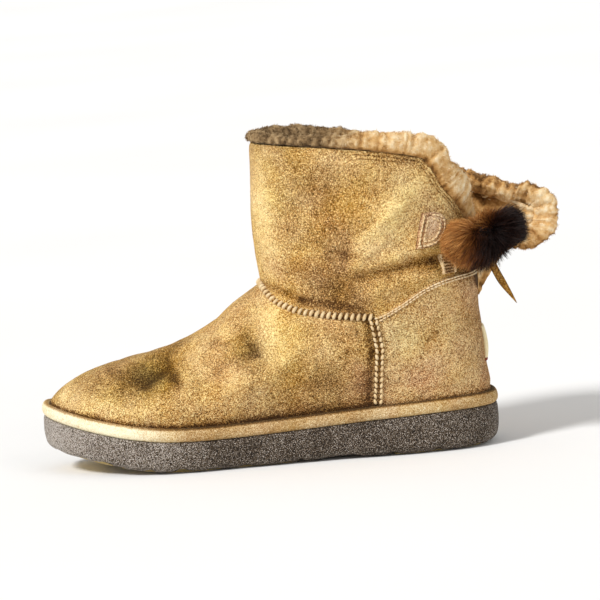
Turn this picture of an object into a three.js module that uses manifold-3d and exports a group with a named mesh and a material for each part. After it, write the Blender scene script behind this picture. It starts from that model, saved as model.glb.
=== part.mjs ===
// Sheepskin boot for the left foot, in millimetres.
// X runs to the toe, Y to the outer side, Z up. The origin is on the floor under the heel.
import * as THREE from 'three';
import { mergeVertices } from 'three/addons/utils/BufferGeometryUtils.js';
import Module from 'manifold-3d';

const wasm = await Module();
wasm.setup();

// Driving sizes
const SOLE_LENGTH = 268.5;
const HEEL_SEAT = 40;          // from the heel's back to the origin
const GAP = 0.3;               // between pieces that meet
const TREAD_PROUD = 1;         // pads stand below the outsole's own underside
const TREAD_DEPTH = 3;         // pads sink into the outsole
const TREAD_MARGIN = 10;       // pads stay inside the outsole's edge
const WELT_HEIGHT = 8;
const WELT_OVERHANG = 5.5;     // from the welt's outside to the upper
const WALL = 3;                // sheepskin hide, without its wool
const INSOLE_THICK = 4;
const OVERLAY_THICK = 1.2;
const SEAM_HEIGHT = 1.6;
const SEAM_WIDTH = 4;
const SHAFT_BACK = 8.5;
const COLUMNS = 44;            // round the boot, toe in the middle
const END_ROUNDNESS = 0.75;
const SHAFT_ROUNDNESS = 0.85;

// Half-widths of the welt's outline, from the heel (share 0) to the toe (share 1)
const PLAN = [
  { share: 0, left: 52, right: 52, middle: 0 },
  { share: 0.185, left: 45, right: 45, middle: 0 },
  { share: 0.37, left: 39, right: 34.5, middle: 0 },
  { share: 0.556, left: 43, right: 41, middle: 0 },
  { share: 0.685, left: 50.5, right: 51.5, middle: -1 },
  { share: 0.8, left: 54, right: 55, middle: -3.5 },
  { share: 0.9, left: 53.5, right: 53.5, middle: -7.5 },
  { share: 1, left: 50, right: 50, middle: -11 },
];

// Underside and top of the outsole along its length
const SOLE = [
  { along: 0, bottom: 2.5, top: 23.5 },
  { along: 14, bottom: 0, top: 23.5 },
  { along: 70, bottom: 0, top: 22 },
  { along: 92, bottom: 1, top: 20.8 },
  { along: 120, bottom: 0, top: 19.5 },
  { along: 165, bottom: 0, top: 18.2 },
  { along: 190, bottom: 0, top: 18.6 },
  { along: 214, bottom: 2.2, top: 21 },
  { along: 232, bottom: 5.6, top: 24.2 },
  { along: 250, bottom: 9.8, top: 28.4 },
  { along: 270, bottom: 15, top: 34 },
];

// Outside of the outsole: how far inside the welt, from its underside (0) to its top (1)
const SOLE_SIDE = [
  { share: 0, inset: 4.6 },
  { share: 0.07, inset: 2.4 },
  { share: 0.2, inset: 1.2 },
  { share: 0.55, inset: 0.4 },
  { share: 0.9, inset: 0.6 },
  { share: 1, inset: 1.3 },
];

// Rolled section of the welt
const WELT_SIDE = [
  { rise: 0, inset: 1.8 },
  { rise: 0.14, inset: 0.5 },
  { rise: 0.4, inset: 0 },
  { rise: 0.7, inset: 0.4 },
  { rise: 0.92, inset: 1.8 },
  { rise: 1, inset: 3.4 },
];

// Side view of the vamp's ridge: how far in and up from the toe towards the throat
const VAMP = [
  { step: 0, inward: 0, rise: 0 },
  { step: 0.1, inward: 0.03, rise: 0.075 },
  { step: 0.2, inward: 0.09, rise: 0.16 },
  { step: 0.3, inward: 0.17, rise: 0.24 },
  { step: 0.4, inward: 0.275, rise: 0.31 },
  { step: 0.5, inward: 0.39, rise: 0.365 },
  { step: 0.6, inward: 0.52, rise: 0.435 },
  { step: 0.7, inward: 0.655, rise: 0.53 },
  { step: 0.8, inward: 0.775, rise: 0.65 },
  { step: 0.9, inward: 0.89, rise: 0.845 },
  { step: 1, inward: 1, rise: 1 },
];

// Heights of the ankle seam and the collar, from the back (share 0) to the front (share 1)
const RINGS = [
  { share: 0, throat: 80, collar: 160 },
  { share: 0.22, throat: 81, collar: 172.4 },
  { share: 0.4, throat: 82.2, collar: 178 },
  { share: 0.65, throat: 85, collar: 182.6 },
  { share: 0.8, throat: 88, collar: 184.4 },
  { share: 0.92, throat: 93.5, collar: 185.6 },
  { share: 1, throat: 103.5, collar: 186 },
];

// The shaft from the ankle seam (step 0) to the collar (step 1); end is the split's edge in degrees
// from the toe, and flare is how far the inner flap stands back
const SHAFT = [
  { step: 0, front: 135, half: 43, end: 180, flare: 0, lean: 0, drop: 0 },
  { step: 0.06, front: 135.6, half: 43.2, end: 180, flare: 0, lean: 0, drop: 0 },
  { step: 0.2, front: 136.5, half: 43.8, end: 177, flare: -5, lean: 0, drop: 0 },
  { step: 0.35, front: 137.1, half: 44.5, end: 172, flare: -15, lean: 0, drop: 0 },
  { step: 0.5, front: 137.1, half: 45, end: 166, flare: -25, lean: 0, drop: -7 },
  { step: 0.6, front: 136.6, half: 45.4, end: 162, flare: -39, lean: 1, drop: -15 },
  { step: 0.67, front: 136.2, half: 45.6, end: 158, flare: -46, lean: 2, drop: -15 },
  { step: 0.75, front: 135.6, half: 45.8, end: 150, flare: -52, lean: 6, drop: -16 },
  { step: 0.84, front: 135, half: 46, end: 138, flare: -58, lean: 12, drop: -16 },
  { step: 0.93, front: 134.5, half: 46, end: 131, flare: -56, lean: 14, drop: -20 },
  { step: 1, front: 134.2, half: 46, end: 124, flare: -44, lean: 14, drop: -22 },
];
const SPLIT_BOTTOM = 1.06;     // level of the split's foot: 0 sole, 1 ankle seam, 2 collar
const LEVELS = [0, 0.14, 0.24, 0.34, 0.44, 0.54, 0.64, 0.74, 0.86, 1,
  1.06, 1.13, 1.2, 1.3, 1.4, 1.5, 1.59, 1.67, 1.76, 1.85, 1.93, 2];
const WELT_LEVEL = 0.14;       // the wall is upright up to here, inside the welt

const clamp01 = (value) => Math.min(1, Math.max(0, value));
const mix = (from, to, share) => from + (to - from) * share;
const radians = (degrees) => degrees * Math.PI / 180;

function ease(from, to, value) {
  const share = clamp01((value - from) / (to - from));
  return share * share * (3 - 2 * share);
}

// Smooth curve through one column of a table, without overshoot
function read(table, key, column, at) {
  const last = table.length - 1;
  if (at <= table[0][key]) return table[0][column];
  if (at >= table[last][key]) return table[last][column];
  const span = (row) => table[row + 1][key] - table[row][key];
  const slope = (row) => (table[row + 1][column] - table[row][column]) / span(row);
  const tangent = (row) => {
    if (row === 0) return slope(0);
    if (row === last) return slope(last - 1);
    const before = slope(row - 1);
    const after = slope(row);
    return before * after <= 0 ? 0 : 2 * before * after / (before + after);
  };
  let row = 0;
  while (table[row + 1][key] < at) row += 1;
  const width = span(row);
  const t = (at - table[row][key]) / width;
  const from = table[row][column];
  const to = table[row + 1][column];
  return from * (1 + 2 * t) * (1 - t) ** 2 + tangent(row) * width * t * (1 - t) ** 2
    + to * t * t * (3 - 2 * t) + tangent(row + 1) * width * t * t * (t - 1);
}

const soleTop = (along) => read(SOLE, 'along', 'top', along);
const soleBottom = (along) => TREAD_PROUD + read(SOLE, 'along', 'bottom', along);

// The welt's outline in plan; angle 0 is the toe, 90 degrees the outer side
function planEdge(angle) {
  const share = (1 + Math.cos(angle)) / 2;
  const side = Math.sin(angle);
  const half = read(PLAN, 'share', side >= 0 ? 'left' : 'right', share);
  const middle = read(PLAN, 'share', 'middle', share);
  const across = middle + Math.sign(side) * half * Math.abs(side) ** END_ROUNDNESS;
  return new THREE.Vector2(SOLE_LENGTH * share, across);
}

// The same outline, moved inwards square to itself
function plan(angle, inset) {
  const step = 0.03;
  const along = planEdge(angle + step).sub(planEdge(angle - step)).normalize();
  return planEdge(angle).add(new THREE.Vector2(-along.y, along.x).multiplyScalar(inset));
}

// Foot of the upper's wall, and the throat ring that it rises to
function footPoint(angle, lift) {
  const edge = plan(angle, WELT_OVERHANG);
  return new THREE.Vector3(edge.x, edge.y, soleTop(edge.x) + GAP + lift);
}

function shaftPoint(angle, step) {
  const share = (1 + Math.cos(angle)) / 2;
  const side = Math.sin(angle);
  const front = read(SHAFT, 'step', 'front', step);
  const half = read(SHAFT, 'step', 'half', step);
  return new THREE.Vector3(
    mix(SHAFT_BACK, front, share),
    Math.sign(side) * half * Math.abs(side) ** SHAFT_ROUNDNESS,
    mix(read(RINGS, 'share', 'throat', share), read(RINGS, 'share', 'collar', share), step));
}

// Outside of the upper; turn runs from the inner split edge (-1) by the toe (0) to the outer one (1)
function skin(turn, level) {
  const WELT_CLEAR = WELT_HEIGHT + 1;
  const SIDE_SWELL = 3;
  const FLARE_FROM = 0.5;
  if (level <= SPLIT_BOTTOM) {
    const angle = turn * Math.PI;
    if (level <= WELT_LEVEL) return footPoint(angle, WELT_CLEAR * level / WELT_LEVEL);
    if (level >= 1) return shaftPoint(angle, level - 1);
    const step = (level - WELT_LEVEL) / (1 - WELT_LEVEL);
    const share = (1 + Math.cos(angle)) / 2;
    const vamp = ease(0.35, 0.95, share);
    const inward = mix(step, read(VAMP, 'step', 'inward', step), vamp);
    const rise = mix(step, read(VAMP, 'step', 'rise', step), vamp);
    const foot = footPoint(angle, WELT_CLEAR);
    const throat = shaftPoint(angle, 0);
    const swell = Math.sin(Math.PI * step);
    return new THREE.Vector3(
      mix(foot.x, throat.x, inward),
      mix(foot.y, throat.y, inward) + SIDE_SWELL * swell * Math.sin(angle),
      mix(foot.z, throat.z, rise));
  }
  const step = level - 1;
  const point = shaftPoint(turn * radians(read(SHAFT, 'step', 'end', step)), step);
  const flap = turn < 0 ? ease(FLARE_FROM, 1, -turn) : 0;
  point.x += flap * read(SHAFT, 'step', 'flare', step);
  point.y += flap * read(SHAFT, 'step', 'lean', step);
  point.z += flap * read(SHAFT, 'step', 'drop', step);
  return point;
}

function skinNormal(turn, level) {
  const step = 0.01;
  const closed = level <= SPLIT_BOTTOM;
  const around = (to) => (closed ? ((to + 3) % 2) - 1 : Math.min(1, Math.max(-1, to)));
  const up = skin(turn, Math.min(2, level + step)).sub(skin(turn, Math.max(0, level - step)));
  const across = skin(around(turn + step), level).sub(skin(around(turn - step), level));
  return across.cross(up).normalize();
}

function offSkin(turn, level, distance) {
  return skin(turn, level).addScaledVector(skinNormal(turn, level), distance);
}
const turnOf = (column) => -1 + 2 * column / COLUMNS;

// Closed geometry from corner points and quads
function geometryOf(points, faces) {
  const geometry = new THREE.BufferGeometry();
  const corners = points.flatMap((p) => [p.x, p.y, p.z]);
  geometry.setAttribute('position', new THREE.Float32BufferAttribute(corners, 3));
  geometry.setIndex(faces.flatMap((f) => (f.length === 4 ? [f[0], f[1], f[2], f[0], f[2], f[3]] : f)));
  return geometry;
}

function solidOf(geometry) {
  const bare = geometry.clone();
  bare.deleteAttribute('normal');
  bare.deleteAttribute('uv');
  const merged = mergeVertices(bare, 1e-4);
  return new wasm.Manifold(new wasm.Mesh({
    numProp: 3,
    vertProperties: new Float32Array(merged.attributes.position.array),
    triVerts: new Uint32Array(merged.index.array),
  }));
}

function geometryFrom(solid) {
  const mesh = solid.getMesh();
  const geometry = new THREE.BufferGeometry();
  geometry.setAttribute('position', new THREE.BufferAttribute(new Float32Array(mesh.vertProperties), 3));
  geometry.setIndex(new THREE.BufferAttribute(new Uint32Array(mesh.triVerts), 1));
  return geometry;
}

// Wall between two distances from the skin, over some of the levels
function wall(levels, outside, inside) {
  const points = [];
  const ids = [outside, inside].map((distance) => levels.map((level) => {
    const row = [];
    for (let column = 0; column <= COLUMNS; column += 1) {
      if (column === COLUMNS && level <= SPLIT_BOTTOM) row.push(row[0]);
      else row.push(points.push(offSkin(turnOf(column), level, distance)) - 1);
    }
    return row;
  }));
  const [outer, inner] = ids;
  const top = levels.length - 1;
  const faces = [];
  for (let i = 0; i < COLUMNS; i += 1) {
    for (let j = 0; j < top; j += 1) {
      faces.push([outer[j][i], outer[j][i + 1], outer[j + 1][i + 1], outer[j + 1][i]]);
      faces.push([inner[j][i + 1], inner[j][i], inner[j + 1][i], inner[j + 1][i + 1]]);
    }
    faces.push([outer[0][i], inner[0][i], inner[0][i + 1], outer[0][i + 1]]);
    faces.push([outer[top][i + 1], inner[top][i + 1], inner[top][i], outer[top][i]]);
  }
  for (let j = 0; j < top; j += 1) {
    if (levels[j + 1] <= SPLIT_BOTTOM) continue;
    const end = COLUMNS;
    faces.push([outer[j][end], inner[j][end], inner[j + 1][end], outer[j + 1][end]]);
    faces.push([outer[j + 1][0], inner[j + 1][0], inner[j][0], outer[j][0]]);
  }
  return geometryOf(points, faces);
}

// Closed stack of plan rings, with caps as strips across the sole
function stack(rings) {
  const points = [];
  const ids = rings.map(({ inset, height }) => Array.from({ length: COLUMNS }, (_, i) => {
    const edge = plan(2 * Math.PI * i / COLUMNS, inset);
    return points.push(new THREE.Vector3(edge.x, edge.y, height(edge.x))) - 1;
  }));
  const faces = [];
  for (let j = 0; j + 1 < rings.length; j += 1) {
    for (let i = 0; i < COLUMNS; i += 1) {
      const next = (i + 1) % COLUMNS;
      faces.push([ids[j][i], ids[j][next], ids[j + 1][next], ids[j + 1][i]]);
    }
  }
  const cap = (ring, up) => {
    for (let i = 0; i < COLUMNS / 2; i += 1) {
      const strip = [ring[i], ring[i + 1], ring[(COLUMNS - i - 1) % COLUMNS], ring[(COLUMNS - i) % COLUMNS]];
      const face = [...new Set(strip)];
      faces.push(up ? face : face.reverse());
    }
  };
  cap(ids[0], false);
  cap(ids[rings.length - 1], true);
  return geometryOf(points, faces);
}

// Prism seen from the side, an outline of [along, height] through some of the width
function sidePrism(outline, fromY, toY) {
  const shape = new THREE.Shape(outline.map(([along, height]) => new THREE.Vector2(along, height)));
  const geometry = new THREE.ExtrudeGeometry(shape, { depth: toY - fromY, bevelEnabled: false });
  geometry.rotateX(Math.PI / 2);
  geometry.translate(0, toY, 0);
  return solidOf(geometry);
}

// Prism seen from above, an outline of [along, across] through some of the height
function planPrism(outline, fromZ, toZ) {
  const shape = new THREE.Shape(outline.map(([along, across]) => new THREE.Vector2(along, across)));
  const geometry = new THREE.ExtrudeGeometry(shape, { depth: toZ - fromZ, bevelEnabled: false });
  geometry.translate(0, 0, fromZ);
  return solidOf(geometry);
}

// Band of even width along a side-view curve
function bandOutline(route, width, steps) {
  const curve = new THREE.SplineCurve(route.map(([along, height]) => new THREE.Vector2(along, height)));
  const edge = (side) => Array.from({ length: steps + 1 }, (_, i) => {
    const at = curve.getPoint(i / steps);
    const run = curve.getTangent(i / steps);
    return [at.x - run.y * side * width / 2, at.y + run.x * side * width / 2];
  });
  return [...edge(-1), ...edge(1).reverse()];
}

const boot = new THREE.Group();
boot.position.x = -HEEL_SEAT;

function addPiece(name, geometry, color, roughness) {
  const mesh = new THREE.Mesh(geometry, new THREE.MeshStandardMaterial({ color, roughness, metalness: 0 }));
  mesh.name = name;
  boot.add(mesh);
}

const SUEDE = '#c09552';
const COUNTER_SUEDE = '#c89a5c';
const WELT_TAN = '#c8aa6e';
const SOLE_GREY = '#6f655e';
const GUM = '#cdb57a';
const WOOL = '#d2a468';
const FUR = '#4a2412';
const LEATHER = '#8a5a1c';
const LABEL = '#e8d8ac';
const FOOTBED = '#b79a6c';

// Outsole with pockets for the tread
const soleRings = SOLE_SIDE.map(({ share, inset }) => ({
  inset,
  height: (along) => mix(soleBottom(along), soleTop(along), share),
}));

const bottomSlab = (below, above) => solidOf(stack([
  { inset: 0, height: (along) => soleBottom(along) - below },
  { inset: 0, height: (along) => soleBottom(along) + above },
]));

// Tread pads cross the sole in waves, each from one station to the next
const TREAD = [
  { name: 'tread_heel_rear', from: 0, to: 27, wave: 3, turns: 1, edge: 0 },
  { name: 'tread_heel_front', from: 32, to: 66, wave: 3, turns: 1, edge: 0 },
  { name: 'tread_arch', from: 84, to: 102, wave: 2, turns: 1, edge: 12 },
  { name: 'tread_ball_rear', from: 124, to: 156, wave: 5, turns: 1.5, edge: 0 },
  { name: 'tread_ball_front', from: 162, to: 194, wave: 5, turns: 1.5, edge: 0 },
  { name: 'tread_toe_rear', from: 200, to: 224, wave: 4, turns: 1.5, edge: 0 },
  { name: 'tread_toe', from: 230, to: 268, wave: 3, turns: 1, edge: 0 },
];

function treadPrism({ from, to, wave, turns, edge }, shrink) {
  const REACH = 60;
  const STEPS = 14;
  const OUTLINE_STEPS = 40;
  const LOW = -5;
  const HIGH = 40;
  const line = (station) => Array.from({ length: STEPS + 1 }, (_, i) => {
    const across = mix(-REACH, REACH, i / STEPS);
    return [station + wave * Math.cos(Math.PI * turns * across / REACH * 2), across];
  });
  const outline = [...line(from + shrink).reverse(), ...line(to - shrink)];
  const inside = Array.from({ length: OUTLINE_STEPS }, (_, i) => {
    const point = plan(2 * Math.PI * i / OUTLINE_STEPS, TREAD_MARGIN + edge + shrink);
    return [point.x, point.y];
  });
  return planPrism(outline, LOW, HIGH).intersect(planPrism(inside, LOW, HIGH));
}

let outsole = solidOf(stack(soleRings));
const pocketSlab = bottomSlab(5 * TREAD_PROUD, TREAD_DEPTH + GAP);
const padSlab = bottomSlab(TREAD_PROUD, TREAD_DEPTH);
for (const row of TREAD) {
  outsole = outsole.subtract(treadPrism(row, 0).intersect(pocketSlab));
  addPiece(row.name, geometryFrom(treadPrism(row, GAP).intersect(padSlab)), GUM, 0.6);
}
addPiece('outsole', geometryFrom(outsole), SOLE_GREY, 0.85);

// Welt round the foot of the upper
function weltRing() {
  const section = [
    ...WELT_SIDE.map(({ rise, inset }) => ({ inset, rise: rise * WELT_HEIGHT + GAP })),
    { inset: WELT_OVERHANG - GAP, rise: WELT_HEIGHT * 0.9 },
    { inset: WELT_OVERHANG - GAP, rise: GAP },
  ];
  const points = [];
  const ids = section.map(({ inset, rise }) => Array.from({ length: COLUMNS }, (_, i) => {
    const edge = plan(2 * Math.PI * i / COLUMNS, inset);
    return points.push(new THREE.Vector3(edge.x, edge.y, soleTop(edge.x) + rise)) - 1;
  }));
  const faces = [];
  for (let j = 0; j < section.length; j += 1) {
    const up = ids[(j + 1) % section.length];
    for (let i = 0; i < COLUMNS; i += 1) {
      const next = (i + 1) % COLUMNS;
      faces.push([ids[j][i], ids[j][next], up[next], up[i]]);
    }
  }
  return geometryOf(points, faces);
}
addPiece('welt', weltRing(), WELT_TAN, 0.75);

// Insole inside the wall
const INSOLE_INSET = WELT_OVERHANG + WALL + 2 * GAP;
addPiece('insole', stack([
  { inset: INSOLE_INSET, height: (along) => soleTop(along) + GAP },
  { inset: INSOLE_INSET, height: (along) => soleTop(along) + GAP + INSOLE_THICK },
]), FOOTBED, 0.95);

// Upper
addPiece('upper', wall(LEVELS, 0, -WALL), SUEDE, 0.95);

// Overlays are cut from what lies between the upper, with its gap, and a thicker form of it
const overlayLevels = LEVELS.filter((level) => level >= WELT_LEVEL && level < 1.8);
const HALF_WIDTH = 70;
const thickUpper = (thick) => solidOf(wall(LEVELS, thick, -WALL - GAP));
const overlayForm = (thick) => solidOf(wall(overlayLevels, thick, -WALL / 2));
const between = (inside, outside) => overlayForm(outside).subtract(thickUpper(inside));
const overlaySheet = between(GAP, GAP + OVERLAY_THICK);
const seamSheet = between(GAP, GAP + SEAM_HEIGHT);

const ANKLE_ROUTE = [[141, 108], [135, 104], [131, 98], [123.6, 93], [105, 87.2], [90, 84.4], [74, 82.6]];
const SIDE_ROUTE = [[70.5, 81], [68.2, 64], [71.7, 26]];
const COUNTER_TOP = [[66.2, 83.4], [52, 90.5], [40, 97.6], [29, 101.4], [12.5, 103.2]];
const COUNTER_FRONT = [[-8, 20], [68.7, 26], [65.3, 64], [67.4, 80]];
const COUNTER_NOTCH = [[12.5, 84], [-8, 84]];   // round the foot of the split

const seamBand = (route, steps) => bandOutline(route, SEAM_WIDTH, steps);
const ankleBand = sidePrism(seamBand(ANKLE_ROUTE, 12), -HALF_WIDTH, HALF_WIDTH);
addPiece('ankle_seam', geometryFrom(seamSheet.intersect(ankleBand)), SUEDE, 0.9);

const SIDES = [
  { name: 'left', fromY: 0, toY: HALF_WIDTH, sign: 1 },
  { name: 'right', fromY: -HALF_WIDTH, toY: 0, sign: -1 },
];
for (const { name, fromY, toY } of SIDES) {
  const seam = seamSheet.intersect(sidePrism(seamBand(SIDE_ROUTE, 6), fromY, toY));
  addPiece(`side_seam_${name}`, geometryFrom(seam), SUEDE, 0.9);
}

const counterCurve = new THREE.SplineCurve(COUNTER_TOP.map(([x, z]) => new THREE.Vector2(x, z)));
const counterTop = counterCurve.getPoints(12).map((p) => [p.x, p.y]);
const counterForm = sidePrism([...COUNTER_FRONT, ...counterTop, ...COUNTER_NOTCH], -HALF_WIDTH, HALF_WIDTH);
addPiece('heel_counter', geometryFrom(overlaySheet.intersect(counterForm)), COUNTER_SUEDE, 0.95);

// D-shaped tabs beside the split and the strips under them; the inner flap's follow its flare
const TAB = { turn: 0.78, level: 1.56, front: 40, height: 21, depth: 18, slant: 4, foot: 120.5 };
const STRIP = { front: 29.5, back: 21, foot: 104.2, top: 116 };

function tabOutline() {
  const STEPS = 10;
  const FULLNESS = 0.55;
  return Array.from({ length: STEPS + 1 }, (_, i) => {
    const angle = mix(-Math.PI / 2, Math.PI / 2, i / STEPS);
    const rise = TAB.height * (1 + Math.sin(angle)) / 2;
    const front = TAB.front - TAB.slant * rise / TAB.height;
    return [front - TAB.depth * Math.cos(angle) ** FULLNESS, TAB.foot + rise];
  });
}
const stripOutline = [
  [STRIP.front, STRIP.foot], [STRIP.front, STRIP.top], [STRIP.back, STRIP.top], [STRIP.back, STRIP.foot],
];
for (const { name, fromY, toY, sign } of SIDES) {
  const swing = skin(sign * TAB.turn, TAB.level).sub(skin(TAB.turn, TAB.level));
  const moved = (outline) => outline.map(([along, height]) => [along + swing.x, height + swing.z]);
  const tab = overlaySheet.intersect(sidePrism(moved(tabOutline()), fromY, toY));
  addPiece(`tab_${name}`, geometryFrom(tab), COUNTER_SUEDE, 0.9);
}
addPiece('split_strip',
  geometryFrom(overlaySheet.intersect(sidePrism(stripOutline, 0, HALF_WIDTH))), COUNTER_SUEDE, 0.9);

// Plain label at the heel, on the counter
const LABEL_SIZE = { half: 9, foot: 48, top: 69, thick: 0.8 };
const labelSheet = between(OVERLAY_THICK + 2 * GAP, OVERLAY_THICK + 2 * GAP + LABEL_SIZE.thick);
const labelBox = [[-8, LABEL_SIZE.foot], [20, LABEL_SIZE.foot], [20, LABEL_SIZE.top], [-8, LABEL_SIZE.top]];
addPiece('heel_label',
  geometryFrom(labelSheet.intersect(sidePrism(labelBox, -LABEL_SIZE.half, LABEL_SIZE.half))), LABEL, 0.8);

// Wool standing over the collar and along both edges of the split, in lumps like its locks
const FLEECE_EDGE = [
  { level: 1.06, outer: 1.2, inner: 1.5 },
  { level: 1.2, outer: 1.5, inner: 3 },
  { level: 1.4, outer: 2.2, inner: 7 },
  { level: 1.54, outer: 3.2, inner: 9.5 },
  { level: 1.64, outer: 10, inner: 10 },
  { level: 1.74, outer: 15.5, inner: 10.5 },
  { level: 1.86, outer: 16.5, inner: 10.5 },
  { level: 2, outer: 13, inner: 10 },
];
const FLEECE_FRONT = 5.5;
const FLEECE_SECTION = [
  { out: 0.4, up: 0 }, { out: 1.8, up: 0.35 }, { out: 1, up: 0.8 }, { out: -2.5, up: 1 },
  { out: -6, up: 0.85 }, { out: -8, up: 0.45 }, { out: -6.5, up: 0 },
];
const FLEECE_SEAT = 0.8;

function fleeceRim() {
  const edgeLevels = LEVELS.filter((level) => level > SPLIT_BOTTOM);
  const rim = edgeLevels.map((level) => ({ turn: 1, level }));
  for (let column = COLUMNS - 1; column >= 1; column -= 1) rim.push({ turn: turnOf(column), level: 2 });
  rim.push(...edgeLevels.reverse().map((level) => ({ turn: -1, level })));
  return rim.map(({ turn, level }) => {
    const side = turn > 0 ? 'outer' : 'inner';
    const corner = ease(0.5, 0.95, Math.abs(turn));
    return {
      point: skin(turn, level),
      normal: skinNormal(turn, level),
      height: mix(FLEECE_FRONT, read(FLEECE_EDGE, 'level', side, level), corner),
    };
  });
}

function fleece() {
  const SPLITS = 2;
  const LOCKS = { swell: 0.16, pace: 2.1, ripple: 0.1, quick: 5.3 };
  const rim = fleeceRim();
  const last = rim.length - 1;
  rim.forEach((at, i) => {
    const run = rim[Math.min(last, i + 1)].point.clone().sub(rim[Math.max(0, i - 1)].point).normalize();
    at.away = run.cross(at.normal).normalize();
  });
  const points = [];
  const rings = [];
  for (let i = 0; i <= last * SPLITS; i += 1) {
    const from = rim[Math.floor(i / SPLITS)];
    const to = rim[Math.min(last, Math.floor(i / SPLITS) + 1)];
    const share = (i % SPLITS) / SPLITS;
    const lump = 1 + LOCKS.swell * Math.sin(LOCKS.pace * i) + LOCKS.ripple * Math.sin(LOCKS.quick * i);
    const height = mix(from.height, to.height, share) * lump;
    const seat = from.point.clone().lerp(to.point, share);
    const out = from.normal.clone().lerp(to.normal, share).normalize();
    const away = from.away.clone().lerp(to.away, share).normalize();
    rings.push(FLEECE_SECTION.map((corner) => points.push(seat.clone()
      .addScaledVector(out, corner.out)
      .addScaledVector(away, FLEECE_SEAT + corner.up * height)) - 1));
  }
  const faces = [];
  const corners = FLEECE_SECTION.length;
  for (let j = 0; j + 1 < rings.length; j += 1) {
    for (let k = 0; k < corners; k += 1) {
      const next = (k + 1) % corners;
      faces.push([rings[j][k], rings[j][next], rings[j + 1][next], rings[j + 1][k]]);
    }
  }
  for (let k = 1; k + 1 < corners; k += 1) {
    faces.push([rings[0][0], rings[0][k + 1], rings[0][k]]);
    const end = rings[rings.length - 1];
    faces.push([end[0], end[k], end[k + 1]]);
  }
  return geometryOf(points, faces);
}
addPiece('fleece_edge', geometryFrom(solidOf(fleece()).subtract(thickUpper(GAP))), WOOL, 1);

// Fur bow beside the split: two lobes of locks, the knot between them and a leather tail
const LOBE_RADIUS = 12;
const LOCK = { count: 28, length: 4.5, radius: 4.6, sink: 4 };
const KNOT = { radius: 6, gap: 3.2 };
const BOW_SEAT = { turn: 0.85, level: 1.5 };
const bowSeat = LOBE_RADIUS + OVERLAY_THICK;   // clear of the tab, which it rests on
const nearLobe = offSkin(BOW_SEAT.turn, BOW_SEAT.level, bowSeat);
const bowAxis = new THREE.Vector3(-22, -16, 2).normalize();
const farLobe = nearLobe.clone().addScaledVector(bowAxis, 2 * LOBE_RADIUS + KNOT.gap);
const wallward = skinNormal(BOW_SEAT.turn, BOW_SEAT.level).negate();

function furLobe(centre, partner) {
  const towards = partner.clone().sub(centre).normalize();
  let lobe = solidOf(new THREE.IcosahedronGeometry(LOBE_RADIUS, 1));
  for (let i = 0; i < LOCK.count; i += 1) {
    const z = 1 - 2 * (i + 0.5) / LOCK.count;
    const angle = i * Math.PI * (3 - Math.sqrt(5));
    const reach = Math.sqrt(1 - z * z);
    const ray = new THREE.Vector3(Math.cos(angle) * reach, Math.sin(angle) * reach, z);
    if (ray.dot(wallward) > 0.2 || ray.dot(towards) > 0.5) continue;
    const lock = new THREE.ConeGeometry(LOCK.radius, LOCK.length + LOCK.sink, 5);
    lock.translate(0, (LOCK.length - LOCK.sink) / 2 + LOBE_RADIUS, 0);
    lock.applyQuaternion(new THREE.Quaternion().setFromUnitVectors(new THREE.Vector3(0, 1, 0), ray));
    lobe = lobe.add(solidOf(lock));
  }
  return geometryFrom(lobe).translate(centre.x, centre.y, centre.z);
}
addPiece('bow_lobe_outer', furLobe(nearLobe, farLobe), FUR, 1);
addPiece('bow_lobe_inner', furLobe(farLobe, nearLobe), FUR, 1);

const knotCentre = nearLobe.clone().lerp(farLobe, 0.5);
const knot = new THREE.CylinderGeometry(KNOT.radius, KNOT.radius, KNOT.gap - 2 * GAP, 16);
knot.applyQuaternion(new THREE.Quaternion().setFromUnitVectors(new THREE.Vector3(0, 1, 0), bowAxis));
addPiece('bow_knot', knot.translate(knotCentre.x, knotCentre.y, knotCentre.z), FUR, 0.9);

const TAIL = { width: 4.4, thick: 1.6, back: 16.8, drop: 33.5, bendBack: 7.1, bendDrop: 18 };
const tailTop = knotCentre.clone();
tailTop.z -= KNOT.radius + 2 * GAP;
const tailOutline = [
  [tailTop.x - TAIL.width / 2, tailTop.z], [tailTop.x + TAIL.width / 2, tailTop.z],
  [tailTop.x - TAIL.bendBack + TAIL.width / 2, tailTop.z - TAIL.bendDrop],
  [tailTop.x - TAIL.back, tailTop.z - TAIL.drop],
  [tailTop.x - TAIL.bendBack - TAIL.width / 2, tailTop.z - TAIL.bendDrop],
];
const tail = sidePrism(tailOutline, tailTop.y - TAIL.thick / 2, tailTop.y + TAIL.thick / 2);
addPiece('bow_tail', geometryFrom(tail), LEATHER, 0.7);

export default boot;
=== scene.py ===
import math
import bmesh
import bpy
import numpy as np
from mathutils import Matrix, Vector


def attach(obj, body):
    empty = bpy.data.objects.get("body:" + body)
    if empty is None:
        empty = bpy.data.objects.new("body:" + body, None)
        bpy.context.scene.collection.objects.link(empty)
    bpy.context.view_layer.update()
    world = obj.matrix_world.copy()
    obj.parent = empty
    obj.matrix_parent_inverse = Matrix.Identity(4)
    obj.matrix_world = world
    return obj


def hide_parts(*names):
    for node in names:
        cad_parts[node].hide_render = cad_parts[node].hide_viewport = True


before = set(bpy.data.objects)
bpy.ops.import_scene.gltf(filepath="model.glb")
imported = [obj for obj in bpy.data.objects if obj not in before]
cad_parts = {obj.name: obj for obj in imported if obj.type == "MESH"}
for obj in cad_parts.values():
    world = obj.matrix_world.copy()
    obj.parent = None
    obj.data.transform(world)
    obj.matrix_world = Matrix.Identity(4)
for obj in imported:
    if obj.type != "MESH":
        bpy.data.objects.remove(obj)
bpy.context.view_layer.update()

# View of the photo: degrees of roll and height, and what the frame holds in metres
PHOTO_ROLL = 4.2
PHOTO_ELEVATION = 7.0
CAMERA_DISTANCE = 2.6
FRAME_WIDTH = 0.352

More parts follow.
